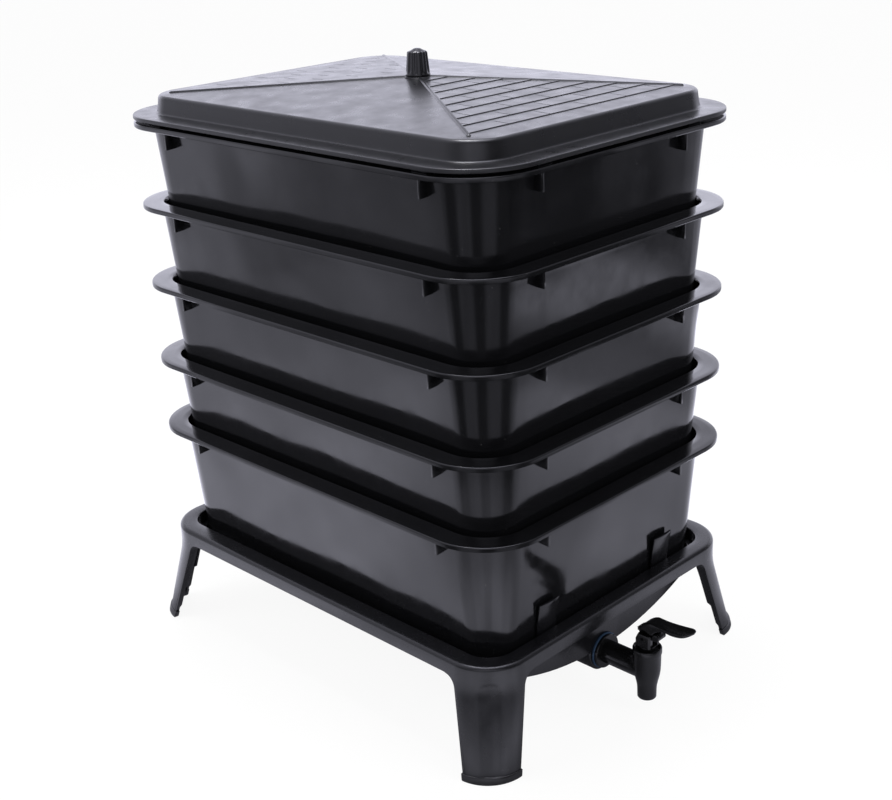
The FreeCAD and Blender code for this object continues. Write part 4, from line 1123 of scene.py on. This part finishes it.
def floor_seen_in_walls(tree, place):
    """The floor's brightness as the glossy walls mirror it, a painted reflection glow: brightest beside the
    part, dim and streaky towards the camera, cloudy, and darkened by a painted shadow under the stand."""
    near_corner, half_length, half_width = 0.30, 0.30, 0.23
    x, y = parts_of(tree, place)[:2]
    forward, left = across_view(x, y)
    distance = length_of(forward, left)
    left_hand = distance.graded(((0.35, 1.60), (0.56, 1.49), (0.78, 1.20), (0.95, 0.92), (1.13, 0.66),
                                 (1.30, 0.54), (1.50, 0.48)))
    right_hand = distance.graded(((0.35, 0.95), (0.56, 1.05), (0.70, 1.15), (0.78, 1.00), (0.86, 0.52),
                                  (0.95, 0.50), (1.03, 0.44), (1.12, 0.90), (1.20, 1.15), (1.27, 0.80),
                                  (1.35, 0.14), (1.5, 0.05)))
    away = blended(left.eased(-0.1, 0.1, 0.0, 1.0), right_hand, left_hand)
    beside = away * forward.eased(-0.05, 0.45, 1.08, 0.55) + forward.eased(-0.5, -0.05, 0.55, 0.0)
    past_corner = forward - near_corner
    fan = left.math("ARCTAN2", past_corner).math("ABSOLUTE")
    reach_out = length_of(past_corner, left)
    streak = fan.eased(0.12, 0.35, 0.0, 0.26) * fan.eased(0.75, 1.0, 1.0, 0.0)
    before = reach_out.eased(0.18, 0.52, 1.1, 0.08) + streak + reach_out.eased(1.8, 5.0, 0.0, 0.45)
    open_floor = blended(fan.eased(1.2, 1.5, 0.0, 1.0), before, beside)
    clouds = node(tree, "ShaderNodeTexNoise", {"Vector": place, "Scale": 3.2})
    cloudy = Value(tree, clouds.outputs["Fac"]).eased(0.35, 0.65, 0.84, 1.12)
    outside_x = (x - STACK_X * MM).math("ABSOLUTE") - half_length
    outside_y = y.math("ABSOLUTE") - half_width
    # Painted shadow: the mirrored floor glows dimmer under and near the stand, where the stand would shade
    # it.
    under = outside_x.math("MAXIMUM", outside_y).eased(-0.05, 0.11, 0.15, 1.0)
    return open_floor * cloudy * under


def floor():
    """A pale floor that keeps the part's shadow and shows white in the camera and in reflections."""
    reach = 14.0
    corners = [(-reach, -reach, 0), (reach, -reach, 0), (reach, reach, 0), (-reach, reach, 0)]
    data = bpy.data.meshes.new("floor")
    data.from_pydata(corners, [], [(0, 1, 2, 3)])
    material = bpy.data.materials.new("pale_floor")
    material.use_nodes = True
    tree = material.node_tree
    shader = tree.nodes["Principled BSDF"]
    shader.inputs["Base Color"].default_value = (0.80, 0.80, 0.80, 1)
    shader.inputs["Roughness"].default_value = 0.9
    shader.inputs["Specular IOR Level"].default_value = 0.1
    camera_ray, glossy = ray_kinds(tree)[:2]
    # Painted reflection: for glossy rays the floor glows with the pattern from floor_seen_in_walls.
    mirrored = floor_seen_in_walls(tree, node(tree, "ShaderNodeTexCoord").outputs["Object"])
    white = node(tree, "ShaderNodeEmission", {
        "Strength": camera_ray * 1.04 + mirrored * glossy, "Color": mixed(tree, glossy, WHITE, MIRRORED_TINT),
    })
    share = camera_ray * 0.88 + glossy
    mix = node(tree, "ShaderNodeMixShader", {0: share, 1: shader.outputs[0], 2: white.outputs[0]})
    tree.links.new(mix.outputs[0], tree.nodes["Material Output"].inputs["Surface"])
    put("floor", data, material)


DRAIN_SLOTS = drain_slots_tree()
FINS = fins_tree()
SHINGLES = shingles_tree()

camera()
world()
floor()
lamp("overhead_back", (-0.9, 1.2, 2.3), (0, 0, 0.5), (2.4, 1.6), 22)
lamp("overhead", (-0.25, -0.1, 2.5), (0, 0, 0.5), (0.7, 0.7), 24, mirrored=True)
lamp("left_front", (-1.5, -2.2, 1.9), (0, 0, 0.35), (1.6, 1.6), 26)
lamp("right_front", (2.4, 0.6, 1.7), (0, 0, 0.35), (1.4, 1.4), 20)

for tray_name in RIMS:
    tray(tray_name, TRAY_FINISH)
lid(LID_FINISH)
knob(KNOB_FINISH)
stand(STAND_FINISH)
for cap_number, (side_x, side_y) in enumerate(((1, 1), (-1, 1), (1, -1), (-1, -1)), 1):
    foot_cap(cap_number, side_x, side_y, FOOT_FINISH)
dish(DISH_FINISH)
tap_body(TAP_FINISH)
tap_bonnet(TAP_FINISH)
tap_lever(TAP_FINISH)
washer("washer_outer", "tap_washer_outer", 256.0, 258.5, 20.8, BLUE_FINISH)
washer("washer_inner", "tap_washer_inner", 250.5, 253.0, 16.0, BLACK_FINISH)

plain_parts = {
    "lid_knob_screw": STEEL_FINISH, "tap_lever_pin": STEEL_FINISH, "tap_stem": TAP_FINISH,
    "tap_seat_cup": CUP_FINISH, "tap_nut": TAP_FINISH,
}
for node_name, finish in plain_parts.items():
    kept = frame["nodes"][node_name]
    kept.data.materials.clear()
    kept.data.materials.append(finish)

settings = bpy.context.scene.view_settings
settings.view_transform = "Standard"
